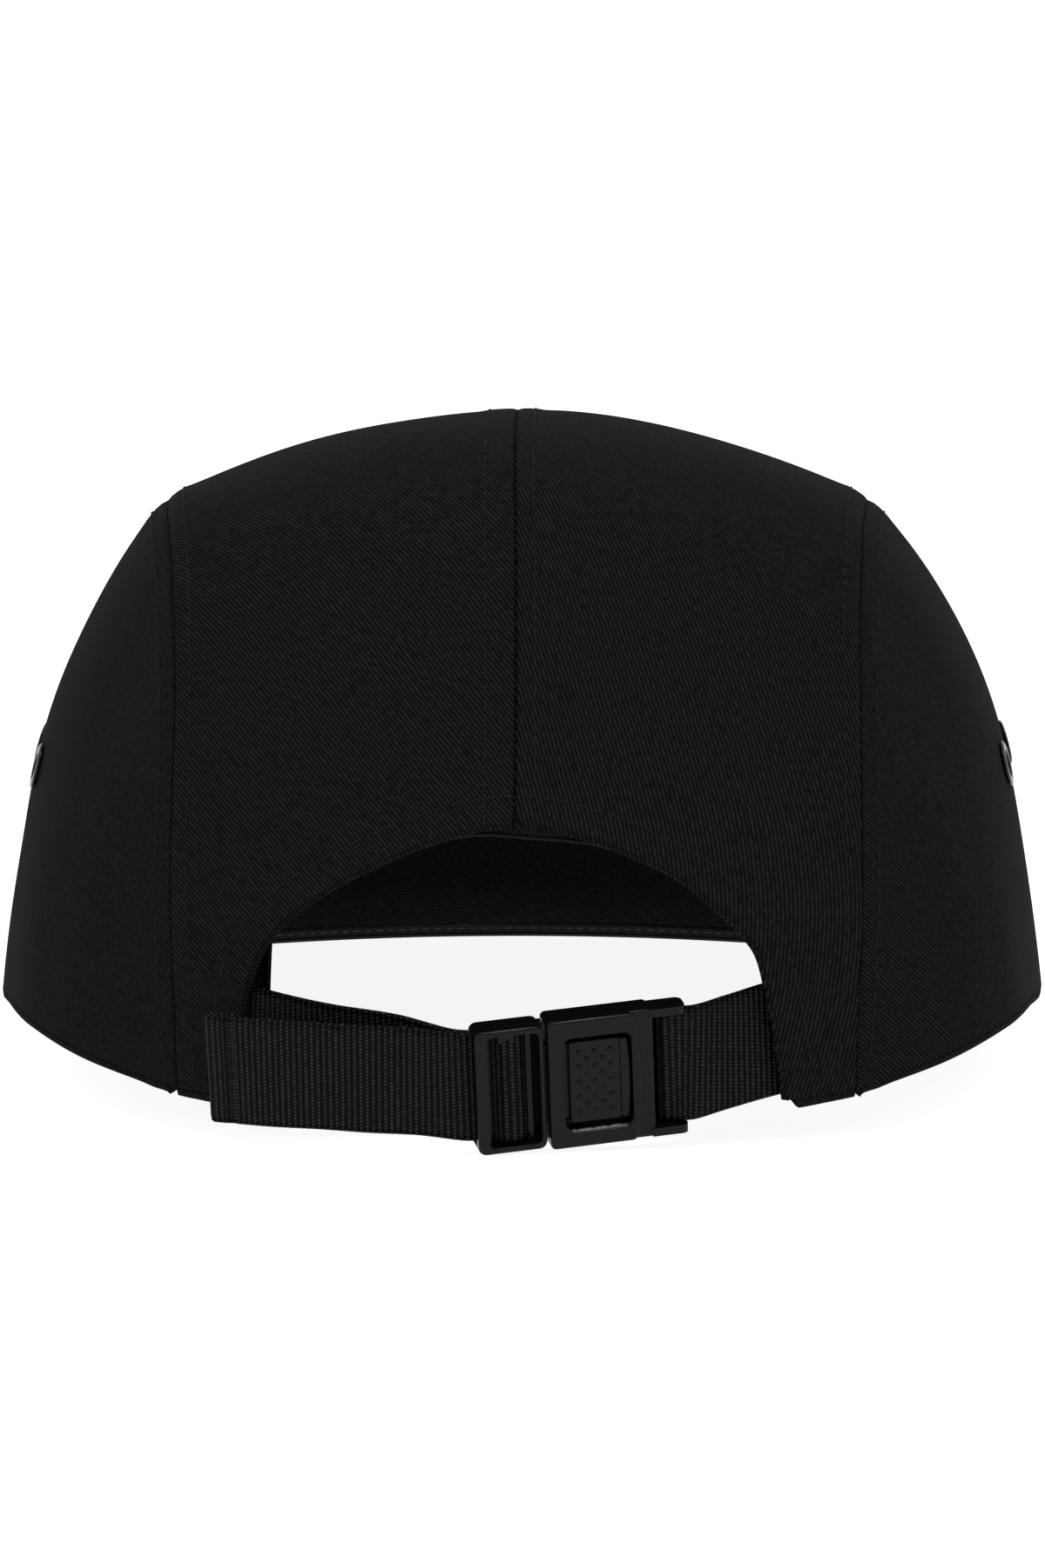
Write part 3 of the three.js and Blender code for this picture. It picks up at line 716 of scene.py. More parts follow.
def turned(flat, degrees):  # lays the wales of the twill at this angle to the flat piece's x
    angle = math.radians(degrees)
    u, v = flat[..., 0], flat[..., 1]
    return np.stack([v * math.cos(angle) - u * math.sin(angle),
                     u * math.cos(angle) + v * math.sin(angle)], -1)


middleRibs = np.linspace(0, lastRib, 321)
middleSteps = alongLine(ribAt(middleRibs)[0])


def upFromRim(rib):  # distance up the middle of the back from its rim
    return middleSteps[-1] - np.interp(rib, middleRibs, middleSteps)


def drapedWales(points, rib, hand):
    # the back's cloth hangs from the crown, so its wales turn with the height
    hang = ribAt(rib)[0][..., 2] - points[..., 2]
    up = upFromRim(rib) - hang * smooth(rib, panel["hangFrom"], panel["hangTo"])
    foot, ease, bend = panel["wales"][hand]
    low = np.minimum(up, bend)
    stray = foot * low - ease / 2 * low**2 + (foot - ease * bend) * (up - low)
    squeeze = math.cos(math.atan(foot - ease * panel["waleMiddle"] * bend))
    return np.stack([(points[..., 0] - stray) * squeeze, up], -1)


def grid(rows, columns):
    return np.meshgrid(np.linspace(0, 1, rows), np.linspace(0, 1, columns), indexing="ij")


seamEdge = 1 - panel["seamGap"] / panel["half"]
backTop = crown["crossSeam"] + panel["seamGap"] / crown["ribGap"]
frontEnd = crown["crossSeam"] - panel["seamGap"] / crown["ribGap"]
rimStop = panel["fold"] / crown["ribGap"]

a, b = grid(120, 132)
rib, across = lerp(rimStop, frontEnd, a), lerp(-seamEdge, seamEdge, b)
outer, inner = clothGrid(rib, across)
uv = turned(np.stack([outer[..., 0], -upFromRim(rib)], -1), panel["grain"])
edges = (0.6, panel["butt"], panel["butt"], panel["butt"])
frontPanel = finish(shell("front_panel_cloth", outer, inner, uv, edges),
                    cottonTwill, "cotton_twill", "front_panel")

for hand, side in hands:
    # the inner edge runs down the middle and then follows the arch to the rim
    a, b = grid(212, 84)
    share = panel["archShare"]
    top = archPlace(np.array([0.0]), panel["fold"], hand)[0][0]
    arcRib, arcAcross = archPlace(np.clip((a - share) / (1 - share), 0, 1), panel["fold"], hand)
    innerRib = np.where(a <= share, lerp(backTop, top, a / share), arcRib)
    innerRib = np.minimum(innerRib, lastRib - rimStop)
    innerAcross = np.where(a <= share, 1 - seamEdge, np.maximum(hand * arcAcross, 1 - seamEdge))
    outerRib = lerp(backTop, lastRib - rimStop, a**panel["spread"])
    rib, across = lerp(innerRib, outerRib, b), hand * lerp(innerAcross, seamEdge, b)
    # the corner at the foot of the arch is rounded
    fromEdge = b * (seamEdge - innerAcross[-1, 0]) * halfWidth(np.array(float(lastRib)))
    inCorner = np.clip(1 - fromEdge / panel["corner"], 0, 1)
    cut = panel["corner"] * (1 - np.sqrt(1 - inCorner**2))
    rib = rib - cut / crown["ribGap"] * smooth(a, panel["cornerFrom"], 1)
    outer, inner = clothGrid(rib, across)
    edges = (panel["butt"], panel["foot"], panel["fold"], panel["butt"])
    piece = shell(f"back_panel_{side}_cloth", outer, inner, drapedWales(outer, rib, hand), edges,
                  rounds=6)
    finish(piece, cottonTwill, "cotton_twill", f"back_panel_{side}")

# the ribs and the shares of the way down where the eyelets are, and the sizes of one
eyelet = {
    "places": (("rear", 4.45, 0.56), ("front", 3.3, 0.54)),
    "hole": 4.0, "flange": 7.2, "barrel": 5.0,
    # z, half the height and corners of the section of the flange outside and inside the cloth
    "rims": ((0.4, 0.36, 16), (-1.65, 0.3, 12)),
    "wall": 0.14, "wallAt": -0.5, "wallHalf": 1.2,
}


def standing(rib, across):  # a matrix that stands a piece on the crown there, +Z out
    at, inward = clothSurface(np.array(rib), np.array(across))
    turn = Vector((0, 0, 1)).rotation_difference(Vector(-inward))
    return Matrix.Translation(Vector(at) * mm) @ turn.to_matrix().to_4x4()


def applied(piece, change):
    bpy.context.view_layer.objects.active = piece
    bpy.ops.object.modifier_apply(modifier=change.name)


def combine(piece, other, operation):
    change = piece.modifiers.new("combine", "BOOLEAN")
    change.object, change.operation, change.solver = other, operation, "EXACT"
    applied(piece, change)
    bpy.data.objects.remove(other, do_unlink=True)


for hand, side in hands:
    a, b = grid(250, 84)
    rib = lerp(0.015, lastRib - 0.015, a)  # its ends are points
    depth = sideDepth(rib)
    start, stop = 1 + panel["seamGap"] / depth, 2 - np.minimum(panel["fold"] / depth, 0.3)
    outer, inner = clothGrid(rib, hand * lerp(start, stop, b))
    wide, long = panel["sideOval"]
    around = np.arctan2(np.abs(outer[..., 0]) / wide, (outer[..., 1] - crown["y"]) / long)
    flatLong, flatHigh = panel["sideFlat"]
    flat = np.stack([around * flatLong, flatHigh * outer[..., 2]], -1)
    uv = turned(flat, panel["sideWales"][hand]) * panel["sideFine"][hand]
    edges = (0.02, 0.02, panel["butt"], panel["foot"])
    piece = shell(f"side_panel_{side}_cloth", outer, inner, uv, edges)
    for name, eyeRib, down in eyelet["places"]:
        bpy.ops.mesh.primitive_cylinder_add(vertices=32, radius=eyelet["barrel"] / 2 * mm,
                                            depth=8 * mm)
        punch = bpy.context.object
        punch.data.transform(standing(eyeRib, hand * (1 + down)))
        combine(piece, punch, "DIFFERENCE")
    finish(piece, cottonTwill, "cotton_twill", f"side_panel_{side}")
print("panels made")


# ---- topstitching of the crown

def sideRow(hand, onStrip):
    rib = np.linspace(0.25, lastRib - 0.1, 700)
    away = seams["row"]["side"]
    if onStrip:
        return rowOnCrown(rib, hand * (1 - away / halfWidth(rib)))
    rib = rib[sideDepth(rib) > 2.5 * away]  # not in the narrow ends of the side panel
    return rowOnCrown(rib, hand * (1 + away / sideDepth(rib)))


def centreRow(hand, away):
    lowest = onBack(np.array([hand * away]), np.array([arch["top"] + seams["hemStop"][hand]]))[0][0]
    rib = np.linspace(crown["crossSeam"] + 0.02, lowest, 300)
    return rowOnCrown(rib, hand * away / halfWidth(rib))


def crossRow(hand):
    across = np.linspace(-0.97, 0.97, 300)
    away = hand * seams["row"]["cross"] / crown["ribGap"]
    return rowOnCrown(crown["crossSeam"] + away + 0 * across, across)


def hemRow():  # up from the left foot of the arch and down to its right foot
    turns = np.linspace(0.985, 0, 300)
    ribs, acrosses = archPlace(turns, seams["row"]["hem"], 1)
    otherRibs, otherAcrosses = archPlace(turns[::-1], seams["row"]["hem"], -1)
    return rowOnCrown(np.concatenate([ribs, otherRibs[1:]]),
                      np.concatenate([acrosses, otherAcrosses[1:]]))


sideStitches = sewn("topstitching_side_seams",
                    [sideRow(hand, onStrip) for hand in (1, -1) for onStrip in (True, False)])
centreStitches = sewn("topstitching_centre_seam", [centreRow(1, seams["row"]["centreLeft"]),
                                                   centreRow(-1, seams["row"]["centreRight"])])
crossStitches = sewn("topstitching_cross_seam", [crossRow(hand) for hand in (-1, 1)])
hemStitches = sewn("topstitching_arch_hem", [hemRow()])
print("topstitching made")


# ---- sweatband and the tape of the arch

band = {
    "foot": 0.3, "top": 29.5, "thick": 1.1, "row": 1.0, "hem": 1.9,
    "end": {1: 155.0, -1: 149.0},  # degrees from the middle of the front to its two ends
    "topRow": 2.7,  # the upper row's distance from the top
    "smooth": 0.04,  # the folded lower edge shows no wales
    "depth": 1.5, "layers": {1: 3.3, -1: 4.5},  # in front, and over the straps' ends
    "layersFrom": 128, "layersTo": 143,
    "loose": 1.12,  # a level ray meets the wall a little aslant, so it goes this much deeper
    "round": 80,  # mm along the band for each radian
    "pull": 0.18, "pullWidth": 0.5,  # of its lower row of stitches
    "sway": 0.12,  # how far its middle strays from the wall
    "pitch": 2.1, "stitch": 0.6,  # of its rows, and how large a stitch is beside the crown's
    "grain": 14, "fine": 1.2,
}


def crownTree():
    count = 161
    rib, across = np.meshgrid(np.linspace(0, lastRib, count), np.linspace(-2, 2, count),
                              indexing="ij")
    points = crownPoint(rib, across).reshape(-1, 3)
    return BVHTree.FromPolygons(points.tolist(), gridFaces(count, count)[1].tolist())


wall = crownTree()
front = crownPoint(np.zeros(61), np.linspace(-1, 1, 61))
sides = np.linspace(0.05, lastRib - 0.05, 90)
ends = np.linspace(0.17, 1, 26)
rimLine = np.vstack([front, crownPoint(sides, 2 + 0 * sides), crownPoint(sides, -2 + 0 * sides),
                     crownPoint(lastRib + 0 * ends, ends), crownPoint(lastRib + 0 * ends, -ends)])
rimAngle = np.arctan2(rimLine[:, 0], crown["y"] - rimLine[:, 1])
rimLine, rimAngle = rimLine[np.argsort(rimAngle)], np.sort(rimAngle)


def insideWall(angle, height, depth):
    # A point inside the crown, found by a level ray from its middle. Below the rim a ray would
    # miss, so the wall is carried on straight down there.
    cast = np.maximum(height, 0.25)
    z = np.interp(angle, rimAngle, rimLine[:, 2]) + cast
    way = np.stack([np.sin(angle), -np.cos(angle), 0 * angle], -1)
    start = np.stack([0 * angle, 0 * angle + crown["y"], z], -1)
    hit = np.array([wall.ray_cast(Vector(s), Vector(w))[0] or (np.nan,) * 3
                    for s, w in zip(start.reshape(-1, 3), way.reshape(-1, 3))])
    hit = hit.reshape(start.shape)
    return hit - way * depth[..., None] - (cast - height)[..., None] * (0, 0, 1), -way


def bandDepth(angle):
    layers = np.where(angle > 0, band["layers"][1], band["layers"][-1])
    near = smooth(np.abs(angle), math.radians(band["layersFrom"]), math.radians(band["layersTo"]))
    return band["loose"] * (band["depth"] + (layers + 0.3 - band["depth"]) * near)


a, b = grid(30, 420)
angle = np.radians(lerp(-band["end"][-1], band["end"][1], b))
height = lerp(band["foot"], band["top"], a**1.3)
outer, inward = insideWall(angle, height, bandDepth(angle))
along = angle * band["round"]
pull = band["pull"] * bump(height - band["foot"] - band["row"], band["pullWidth"])
sway = band["sway"] * np.sin(along / 6.1 + 0.8 * np.sin(along / 17)) * smooth(height, 2, 12)
inner = outer + inward * (band["thick"] - pull + sway)[..., None]
uv = turned(np.stack([along, height], -1), band["grain"]) * band["fine"]
hemmed = height < band["foot"] + band["hem"]
uv = np.where(hemmed[..., None], (band["smooth"], 0), uv)
# the sweatband's twill is painted paler towards its foot, standing in for light from below
sweatband = finish(shell("sweatband_cloth", outer, inner, uv, (0.55, 0.5, 0.4, 0.4)),
                   twillWithPaintedLight, "cotton_twill", "sweatband")
bandRows = []
for up in (band["foot"] + band["row"], band["top"] - band["topRow"]):
    angles = np.radians(np.linspace(1 - band["end"][-1], band["end"][1] - 1, 900))
    depths = bandDepth(angles) + band["thick"] - 0.15
    line, inward = insideWall(angles, up + 0 * angles, depths)
    bandRows.append(stitchRow(line, inward, band["pitch"], band["stitch"]))
bandStitches = sewn("topstitching_sweatband", bandRows, material=paleThread)

# The tape shows only under the top of the arch, a little to the right of its middle
tape = {"angle": 40.0, "peek": 0.65, "hidden": 0.9, "middle": -3.5, "reach": 13.0, "width": 8.0,
        "depth": 1.55, "thick": 0.7, "long": 65}

a, b = grid(14, 130)
degrees = lerp(-tape["angle"], tape["angle"], b)
shown = bump(degrees - tape["middle"], tape["reach"])
under = tape["hidden"] - (tape["hidden"] + tape["peek"]) * shown
x, z = archBow(np.radians(degrees), lerp(under, tape["width"] - tape["peek"], a))
rib, across = onBack(x + arch["shift"], z)
on, inward = crownPoint(rib, across), crownInward(rib, across)
outer, inner = on + inward * tape["depth"], on + inward * (tape["depth"] + tape["thick"])
uv = np.stack([b * tape["long"], a * tape["width"]], -1)
archTape = finish(shell("arch_tape_cloth", outer, inner, uv, (0.3, 0.2, 0.2, 0.2)),
                  facingTape, "facing_tape", "arch_tape")
print("sweatband and tape made")


# ---- peak: twill over a board, quilted by rows of stitches that follow its edge

peak = {
    "outline": ((79, -48), (83.5, -70), (84, -95), (77, -121), (63, -142.5), (44, -155.5),
                (22, -162)),
    "tip": -163.5, "thick": 3.0, "level": 7.48, "slope": 0.085, "bend": 550.0,
    "root": 0.72, "rootRibs": 1.4, "gap": 0.3,
    "rootWay": 1.35,  # how much more its root faces sideways than straight from the middle
    "seam": (-0.05, 0.2),  # how far its upper and lower faces start from the rim of the crown
    "edge": 1.5, "edgeDrop": 0.5,
    "rows": (4.5, 10.5, 16.5, 22.5, 28.5, 34.5, 40.5),
    "groove": 0.22, "grooveWidth": 0.55, "swell": 0.1,  # at the rows, and between them
    "sunk": (0.22, 0.12),  # the stitches of its upper and lower faces
    "pitch": 3.0,
}
half = [(-x, y) for x, y in peak["outline"]] + [(0, peak["tip"])] + list(peak["outline"])[::-1]
peakRows = np.array([(x, y + crown["y"], 0) for x, y in half], float)


def peakAt(a, b, side):  # side 0 is the top and 1 the underside
    u = 2 * b - 1
    size, hand = np.abs(u), np.where(u < 0, -1.0, 1.0)
    onFront = size <= peak["root"]
    onSide = np.maximum((size - peak["root"]) / (1 - peak["root"]) * peak["rootRibs"], 0.01)
    inner = crownPoint(np.where(onFront, 0.0, onSide),
                       np.where(onFront, u / peak["root"], 2 * hand))
    out = unit((inner - (0, crown["y"], 0)) * (peak["rootWay"], 1, 0))
    inner = inner + peak["seam"][side] * out
    outer = throughRows(peakRows, b)
    length = np.linalg.norm((outer - inner) * (1, 1, 0), axis=-1)
    point = inner + (outer - inner) * a[..., None]
    ahead = crown["ribs"][0, 0] + crown["y"] - outer[..., 1]
    under = peak["level"] - peak["slope"] * ahead - outer[..., 0]**2 / (2 * peak["bend"])
    point[..., 2] = lerp(inner[..., 2] + peak["gap"], under, a) + (1 - side) * peak["thick"]
    return point, length


def quilt(away):
    first, second = peak["rows"][:2]
    grooves = bump(away[..., None] - np.array(peak["rows"]), peak["grooveWidth"]).sum(-1)
    swell = np.sin(math.pi * (away - first) / (second - first))**2 * (away > first)
    return peak["swell"] * swell - peak["groove"] * grooves


a, b = grid(78, 330)
length = peakAt(a, b, 0)[1]
a = a * (1 - peak["edge"] / length)
away = (1 - a) * length
swell = quilt(away)[..., None] * (0, 0, 1) * smooth(away, 1.2, 3.0)[..., None]
upper, lower = peakAt(a, b, 0)[0] + swell, peakAt(a, b, 1)[0] - 0.6 * swell
edgeDrop = peak["edgeDrop"] * (1 - smooth(away, 1.4, 3.5))[..., None] * (0, 0, 1)
edges = (0.2, 1.45, 0.9, 0.9)
piece = shell("peak_cloth", upper - edgeDrop, lower + edgeDrop,
              turned(upper[..., :2], panel["grain"]), edges, rounds=8)
finish(piece, cottonTwill, "cotton_twill", "peak")
peakStitches = []
for row in peak["rows"]:
    b = np.linspace(0.004, 0.996, 900)
    length = peakAt(0 * b, b, 0)[1]
    keep = length > row + 2.5
    for side, out in ((0, 1), (1, -1)):
        line, _ = peakAt((1 - row / length)[keep], b[keep], side)
        line[:, 2] -= out * peak["sunk"][side]
        outward = np.tile((0.0, 0.0, out), (len(line), 1))
        peakStitches.append(stitchRow(line, outward, peak["pitch"]))
sewn("topstitching_peak", peakStitches)
print("peak made")


# ---- eyelets

def joined(pieces):
    bpy.ops.object.select_all(action="DESELECT")
    for piece in pieces:
        piece.select_set(True)
    bpy.context.view_layer.objects.active = pieces[0]
    bpy.ops.object.join()
    return bpy.context.object


def makeEyelet():
    # a rolled flange on each side of the cloth and a barrel, each spun from a small section
    hole, flange = eyelet["hole"] / 2 * mm, eyelet["flange"] / 2 * mm
    sections = [((hole + flange) / 2 + 0.1 * mm, z * mm, (flange - hole) / 2, tall * mm, corners)
                for z, tall, corners in eyelet["rims"]]
    sections.append((hole + 0.12 * mm, eyelet["wallAt"] * mm, eyelet["wall"] * mm,
                     eyelet["wallHalf"] * mm, 8))
    made = []
    for radius, z, wide, tall, corners in sections:
        bpy.ops.mesh.primitive_circle_add(vertices=corners, radius=1, rotation=(math.pi / 2, 0, 0))
        piece = bpy.context.object
        piece.scale = (wide, tall, 1)
        piece.location = (radius, 0, z)
        bpy.ops.object.transform_apply(location=True, rotation=True, scale=True)
        bpy.ops.object.mode_set(mode="EDIT")
        bpy.ops.mesh.select_all(action="SELECT")
        bpy.ops.mesh.spin(steps=48, angle=2 * math.pi, center=(0, 0, 0), axis=(0, 0, 1))
        bpy.ops.mesh.select_all(action="SELECT")
        bpy.ops.mesh.remove_doubles(threshold=0.00001)
        bpy.ops.mesh.normals_make_consistent(inside=False)
        bpy.ops.object.mode_set(mode="OBJECT")
        made.append(piece)
    piece = joined(made)
    bpy.ops.object.shade_smooth()
    return piece


eyeletModel = makeEyelet()
for hand, side in hands:
    for name, eyeRib, down in eyelet["places"]:
        piece = eyeletModel.copy()
        piece.data = eyeletModel.data.copy()
        piece.name = piece.data.name = f"eyelet_{side}_{name}_ring"
        bpy.context.scene.collection.objects.link(piece)
        piece.data.transform(standing(eyeRib, hand * (1 + down)))
        finish(piece, blackEnamel, "enamelled_metal", f"eyelet_{side}_{name}")
bpy.data.objects.remove(eyeletModel, do_unlink=True)
print("eyelets made")


# ---- buckle, modelled as it is seen from behind: x to the right, y up and z out

buckle = {"x": -4.9, "y": 91.6, "z": 10.7, "turn": 194, "lean": 103, "roll": 5.2}
buckleSpot = (Matrix.Translation(Vector((buckle["x"], crown["y"] + buckle["y"], buckle["z"])))
              @ Matrix.Rotation(math.radians(buckle["turn"]), 4, "Z")
              @ Matrix.Rotation(math.radians(buckle["lean"]), 4, "X")
              @ Matrix.Rotation(math.radians(buckle["roll"]), 4, "Z"))


def slab(low, high, corner=0.0):  # a block between two corners, its upright edges rounded
    low, high = Vector(low) * mm, Vector(high) * mm
    bpy.ops.mesh.primitive_cube_add(size=1, location=(low + high) / 2)
    piece = bpy.context.object
    piece.scale = high - low
    bpy.ops.object.transform_apply(location=True, rotation=True, scale=True)
    if corner:
        bevelEdges(piece, corner, lambda at, way: abs(way.z) > 0.9)
    return piece


def bevelEdges(piece, width, test, segments=4):
    selectEdges(piece, test)
    bpy.ops.mesh.bevel(offset=width * mm, segments=segments, affect="EDGES")
    bpy.ops.object.mode_set(mode="OBJECT")


def roundFront(piece, width):  # rounds the rim of the piece's front face
    front = max(v.co.z for v in piece.data.vertices) / mm
    bevelEdges(piece, width, lambda at, way: at.z > front - 0.01 and abs(way.z) < 0.1)


def bow(piece, amount, halfHeight, test):
    # cuts the piece across and pushes the points that pass the test out in x, most at mid-height
    bpy.context.view_layer.objects.active = piece
    bpy.ops.object.mode_set(mode="EDIT")
    for y in np.linspace(-0.8, 0.8, 9) * halfHeight:
        bpy.ops.mesh.select_all(action="SELECT")
        bpy.ops.mesh.bisect(plane_co=(0, y * mm, 0), plane_no=(0, 1, 0))
    bpy.ops.object.mode_set(mode="OBJECT")
    for v in piece.data.vertices:
        if test(v.co / mm):
            v.co.x += amount * mm * (1 - min((v.co.y / mm / halfHeight)**2, 1))
    return piece


def soften(piece, width, segments=3):
    change = piece.modifiers.new("soften", "BEVEL")
    change.width, change.segments, change.limit_method = width * mm, segments, "ANGLE"
    change.angle_limit = math.radians(32)
    applied(piece, change)
    bpy.ops.object.select_all(action="DESELECT")
    piece.select_set(True)
    bpy.ops.object.shade_smooth_by_angle(angle=math.radians(38))
    for face in piece.data.polygons:  # flat faces stay flat, so only rounded edges catch the light
        if max(abs(c) for c in face.normal) > 0.9995:
            face.use_smooth = False
    return piece


def bar(x, half, z, width, segments=3):  # a softened block that reaches as far up as down
    return soften(slab((x[0], -half, z[0]), (x[1], half, z[1])), width, segments)


def gather(name, pieces):
    whole = joined(pieces)
    whole.name = whole.data.name = name
    whole.data.transform(Matrix.Scale(1 / mm, 4))
    whole.data.transform(buckleSpot)
    whole.data.transform(Matrix.Scale(mm, 4))
    return whole


male = {
    "left": -10.9, "right": -0.25, "half": 10.0, "deep": 2.4, "rail": 1.0, "wall": 0.75,
    "bar": 1.7, "corner": 1.2, "windowCorner": 0.9, "rim": 0.45, "edge": 0.42,
    # x, half the height, z, and how wide its edges are softened
    "ridge": ((-9.3, -8.75), 9.2, (0.9, 1.7), 0.2),
    "middleBar": ((-6.2, -4.5), 9.3, (-0.6, 0.2), 0.25),
    "innerBar": ((-3.05, -1.5), 9.3, (-1.5, 0.5), 0.55, 5),
    "webFloor": ((-3.3, -0.3), 9.3, (-2.2, -1.6), 0.1),  # closes the slit beside the bar
    "neck": ((-0.6, 0.12), 9.6, (-2.0, -0.4), 0.1),  # and this one the groove of the joint
    "tongue": ((-0.8, 12.6), 6.2, (-1.1, 0.9), 0.2),
    # the low and the high corner of the other blocks
    "tab": ((-7.3, 7.7, 0.6), (-4.7, 9.2, 1.9)),
    "notch": ((-6.5, 7.0, 0), (-5.5, 8.2, 3)),
    "button": ((3.55, -6.6, 0.6), (11.5, 6.6, 1.95)), "buttonCorner": 0.5,
    "buttonRidge": ((11.4, -6.5, 0.6), (12.7, 6.5, 2.1)), "ridgeBow": 0.45,
}
left, right, half, deep = (male[key] for key in ("left", "right", "half", "deep"))
ladder = half - male["rail"]
opening = left + male["bar"]
frameHalf = slab((left, -half, -deep), (right, half, deep), male["corner"])
roundFront(frameHalf, male["rim"])
combine(frameHalf, slab((opening, -ladder, -5), (right - male["wall"], ladder, 5),
                        male["windowCorner"]), "DIFFERENCE")
combine(frameHalf, slab((left - 1, -ladder, -5), (opening + 0.1, ladder, 0.9)), "DIFFERENCE")
soften(frameHalf, male["edge"])
bars = [bar(*male[name]) for name in ("ridge", "middleBar", "innerBar", "webFloor", "neck")]
tab = slab(*male["tab"])
combine(tab, slab(*male["notch"]), "DIFFERENCE")
soften(tab, 0.15)
tongue = bar(*male["tongue"])
button = slab(*male["button"], male["buttonCorner"])
soften(button, 0.22)
buttonRidge = bow(slab(*male["buttonRidge"]), male["ridgeBow"], 6.5, lambda at: at.x > 12)
soften(buttonRidge, 0.4, 4)

# rows of small domes on the release pad, which give the finger its grip
dots = {"columns": (5.1, 6.35, 7.55, 8.75, 9.95), "counts": (5, 4, 5, 4, 5), "pitch": 2.42,
        "radius": 0.42, "height": 0.4, "z": 1.93}
domes = []
for x, count in zip(dots["columns"], dots["counts"]):
    for n in range(count):
        y = (n - (count - 1) / 2) * dots["pitch"]
        bpy.ops.mesh.primitive_uv_sphere_add(segments=12, ring_count=6, radius=dots["radius"] * mm,
                                             location=(x * mm, y * mm, dots["z"] * mm))
        dome = bpy.context.object
        dome.scale = (1, 1, dots["height"] / dots["radius"])
        bpy.ops.object.transform_apply(location=True, rotation=True, scale=True)
        bpy.ops.object.shade_smooth()
        domes.append(dome)
whole = gather("buckle_male_moulding", [frameHalf, *bars, tab, tongue, button, buttonRidge, *domes])
buckleMale = finish(whole, mouldedAcetal, "moulded_plastic", "buckle_male")

female = {
    "left": 0.25, "right": 16.8, "end": 21.9, "half": 10.4, "deep": 2.6, "rail": 1.35,
    "railDeep": 2.0, "railRound": 1.1, "step": 13.75, "low": 1.8, "corner": 0.8, "edge": 0.36,
    "window": ((2.65, -7.5, 0.3), (13.2, 7.5, 5)), "windowCorner": 1.2,
    "channel": (6.6, -1.4, 13.2, 1.3),  # the tongue's: half its height, its floor, end and top
    "endBar": ((19.3, 21.4), 9.3, (-1.4, -0.5), 0.3),
    "slotBack": ((16.5, 18.2), 9.6, (-2.55, -1.95), 0.1),  # closes the slit beside the webbing
    "slotFoot": ((16.5, -9.6, -2.5), (19.4, -8.6, -1.9)),
    # along the lower edge of the window, where it catches the light
    "chamfer": ((3.6, -1.5, 0), (12.6, 1.5, 2)), "chamferAt": (0, -7.8, 2.2), "chamferTurn": -55,
}
left, right, half, deep = (female[key] for key in ("left", "right", "half", "deep"))
body = slab((left, -half, -deep), (right, half, female["low"]), female["corner"])
within = half - 0.02  # parts that are joined never share a face
raised = slab((left + 0.02, -within, -1.0), (female["step"], within, deep + 0.02),
              female["corner"])
roundFront(body, 0.4)
roundFront(raised, 0.5)
bow(raised, 1.0, half, lambda at: at.x > female["step"] - 1)
combine(body, raised, "UNION")
channelHalf, channelFloor, channelEnd, channelTop = female["channel"]
combine(body, slab((left - 1, -channelHalf, channelFloor), (channelEnd, channelHalf, channelTop)),
        "DIFFERENCE")
window = bow(slab(*female["window"], female["windowCorner"]), -0.35, 7.5, lambda at: at.x < 3)
combine(body, window, "DIFFERENCE")
for y in (1, -1):
    low, high = sorted((y * (half - female["rail"]), y * (half - 0.04)))
    rail = slab((right - 0.6, low, -female["railDeep"]), (female["end"], high, female["railDeep"]))
    bevelEdges(rail, female["railRound"], lambda at, way: abs(way.y) > 0.9 and at.x > 20)
    combine(body, rail, "UNION")
chamfer = slab(*female["chamfer"])
chamfer.data.transform(Matrix.Translation(Vector(female["chamferAt"]) * mm)
                       @ Matrix.Rotation(math.radians(female["chamferTurn"]), 4, "X"))
combine(body, chamfer, "DIFFERENCE")
soften(body, female["edge"])
endBar, slotBack = bar(*female["endBar"]), bar(*female["slotBack"])
slotFoot = slab(*female["slotFoot"])
whole = gather("buckle_female_moulding", [body, endBar, slotBack, slotFoot])
buckleFemale = finish(whole, mouldedAcetal, "moulded_plastic", "buckle_female")
print("buckle made")


# ---- straps of ribbed webbing

strap = {
    "width": 17.4, "thick": 1.2, "bend": 0.0141, "relief": 0.15, "step": 0.155,
    "hem": 3.0, "fold": 0.66, "seam": 0.8, "pinch": 0.22,  # of the tail's folded end
    "columns": 22, "edge": 0.3,
    "thin": 0.12, "thinFrom": 0.7, "thinTo": 0.2,  # towards its two long edges
    "ripple": 0.05,
    "pitch": 2.0, "stitch": 0.8,
}


def hung(x, y, z, lean, bend=strap["bend"]):
    # a place of the webbing's middle and the way its upper edge points
    out = unit(np.array((bend * x, 1.0, 0.0))) * math.sin(math.radians(lean))
    return np.array((x, y + crown["y"], z)), out + (0, 0, math.cos(math.radians(lean)))


def onBuckle(x, z, lift=0.2):
    at = np.array(buckleSpot @ Vector((x, lift, z)))
    return at, np.array(buckleSpot @ Vector((x, lift + 1, z))) - at


def throughUnevenRows(rows, u):  # centripetal Catmull-Rom, as the solids' straps follow
    p, f = rowsAround(rows, u)
    gaps = [np.linalg.norm(p[n + 1] - p[n], axis=1)[:, None]**0.5 for n in range(3)]
    a, b, c = [np.where(g < 1e-4, np.where(gaps[1] < 1e-4, 1, gaps[1]), g) for g in gaps]
    leave = ((p[1] - p[0]) / a - (p[2] - p[0]) / (a + b) + (p[2] - p[1]) / b) * b
    arrive = ((p[2] - p[1]) / b - (p[3] - p[1]) / (b + c) + (p[3] - p[2]) / c) * b
    return (p[1] + leave * f + (-3 * p[1] + 3 * p[2] - 2 * leave - arrive) * f**2
            + (2 * p[1] - 2 * p[2] + leave + arrive) * f**3)


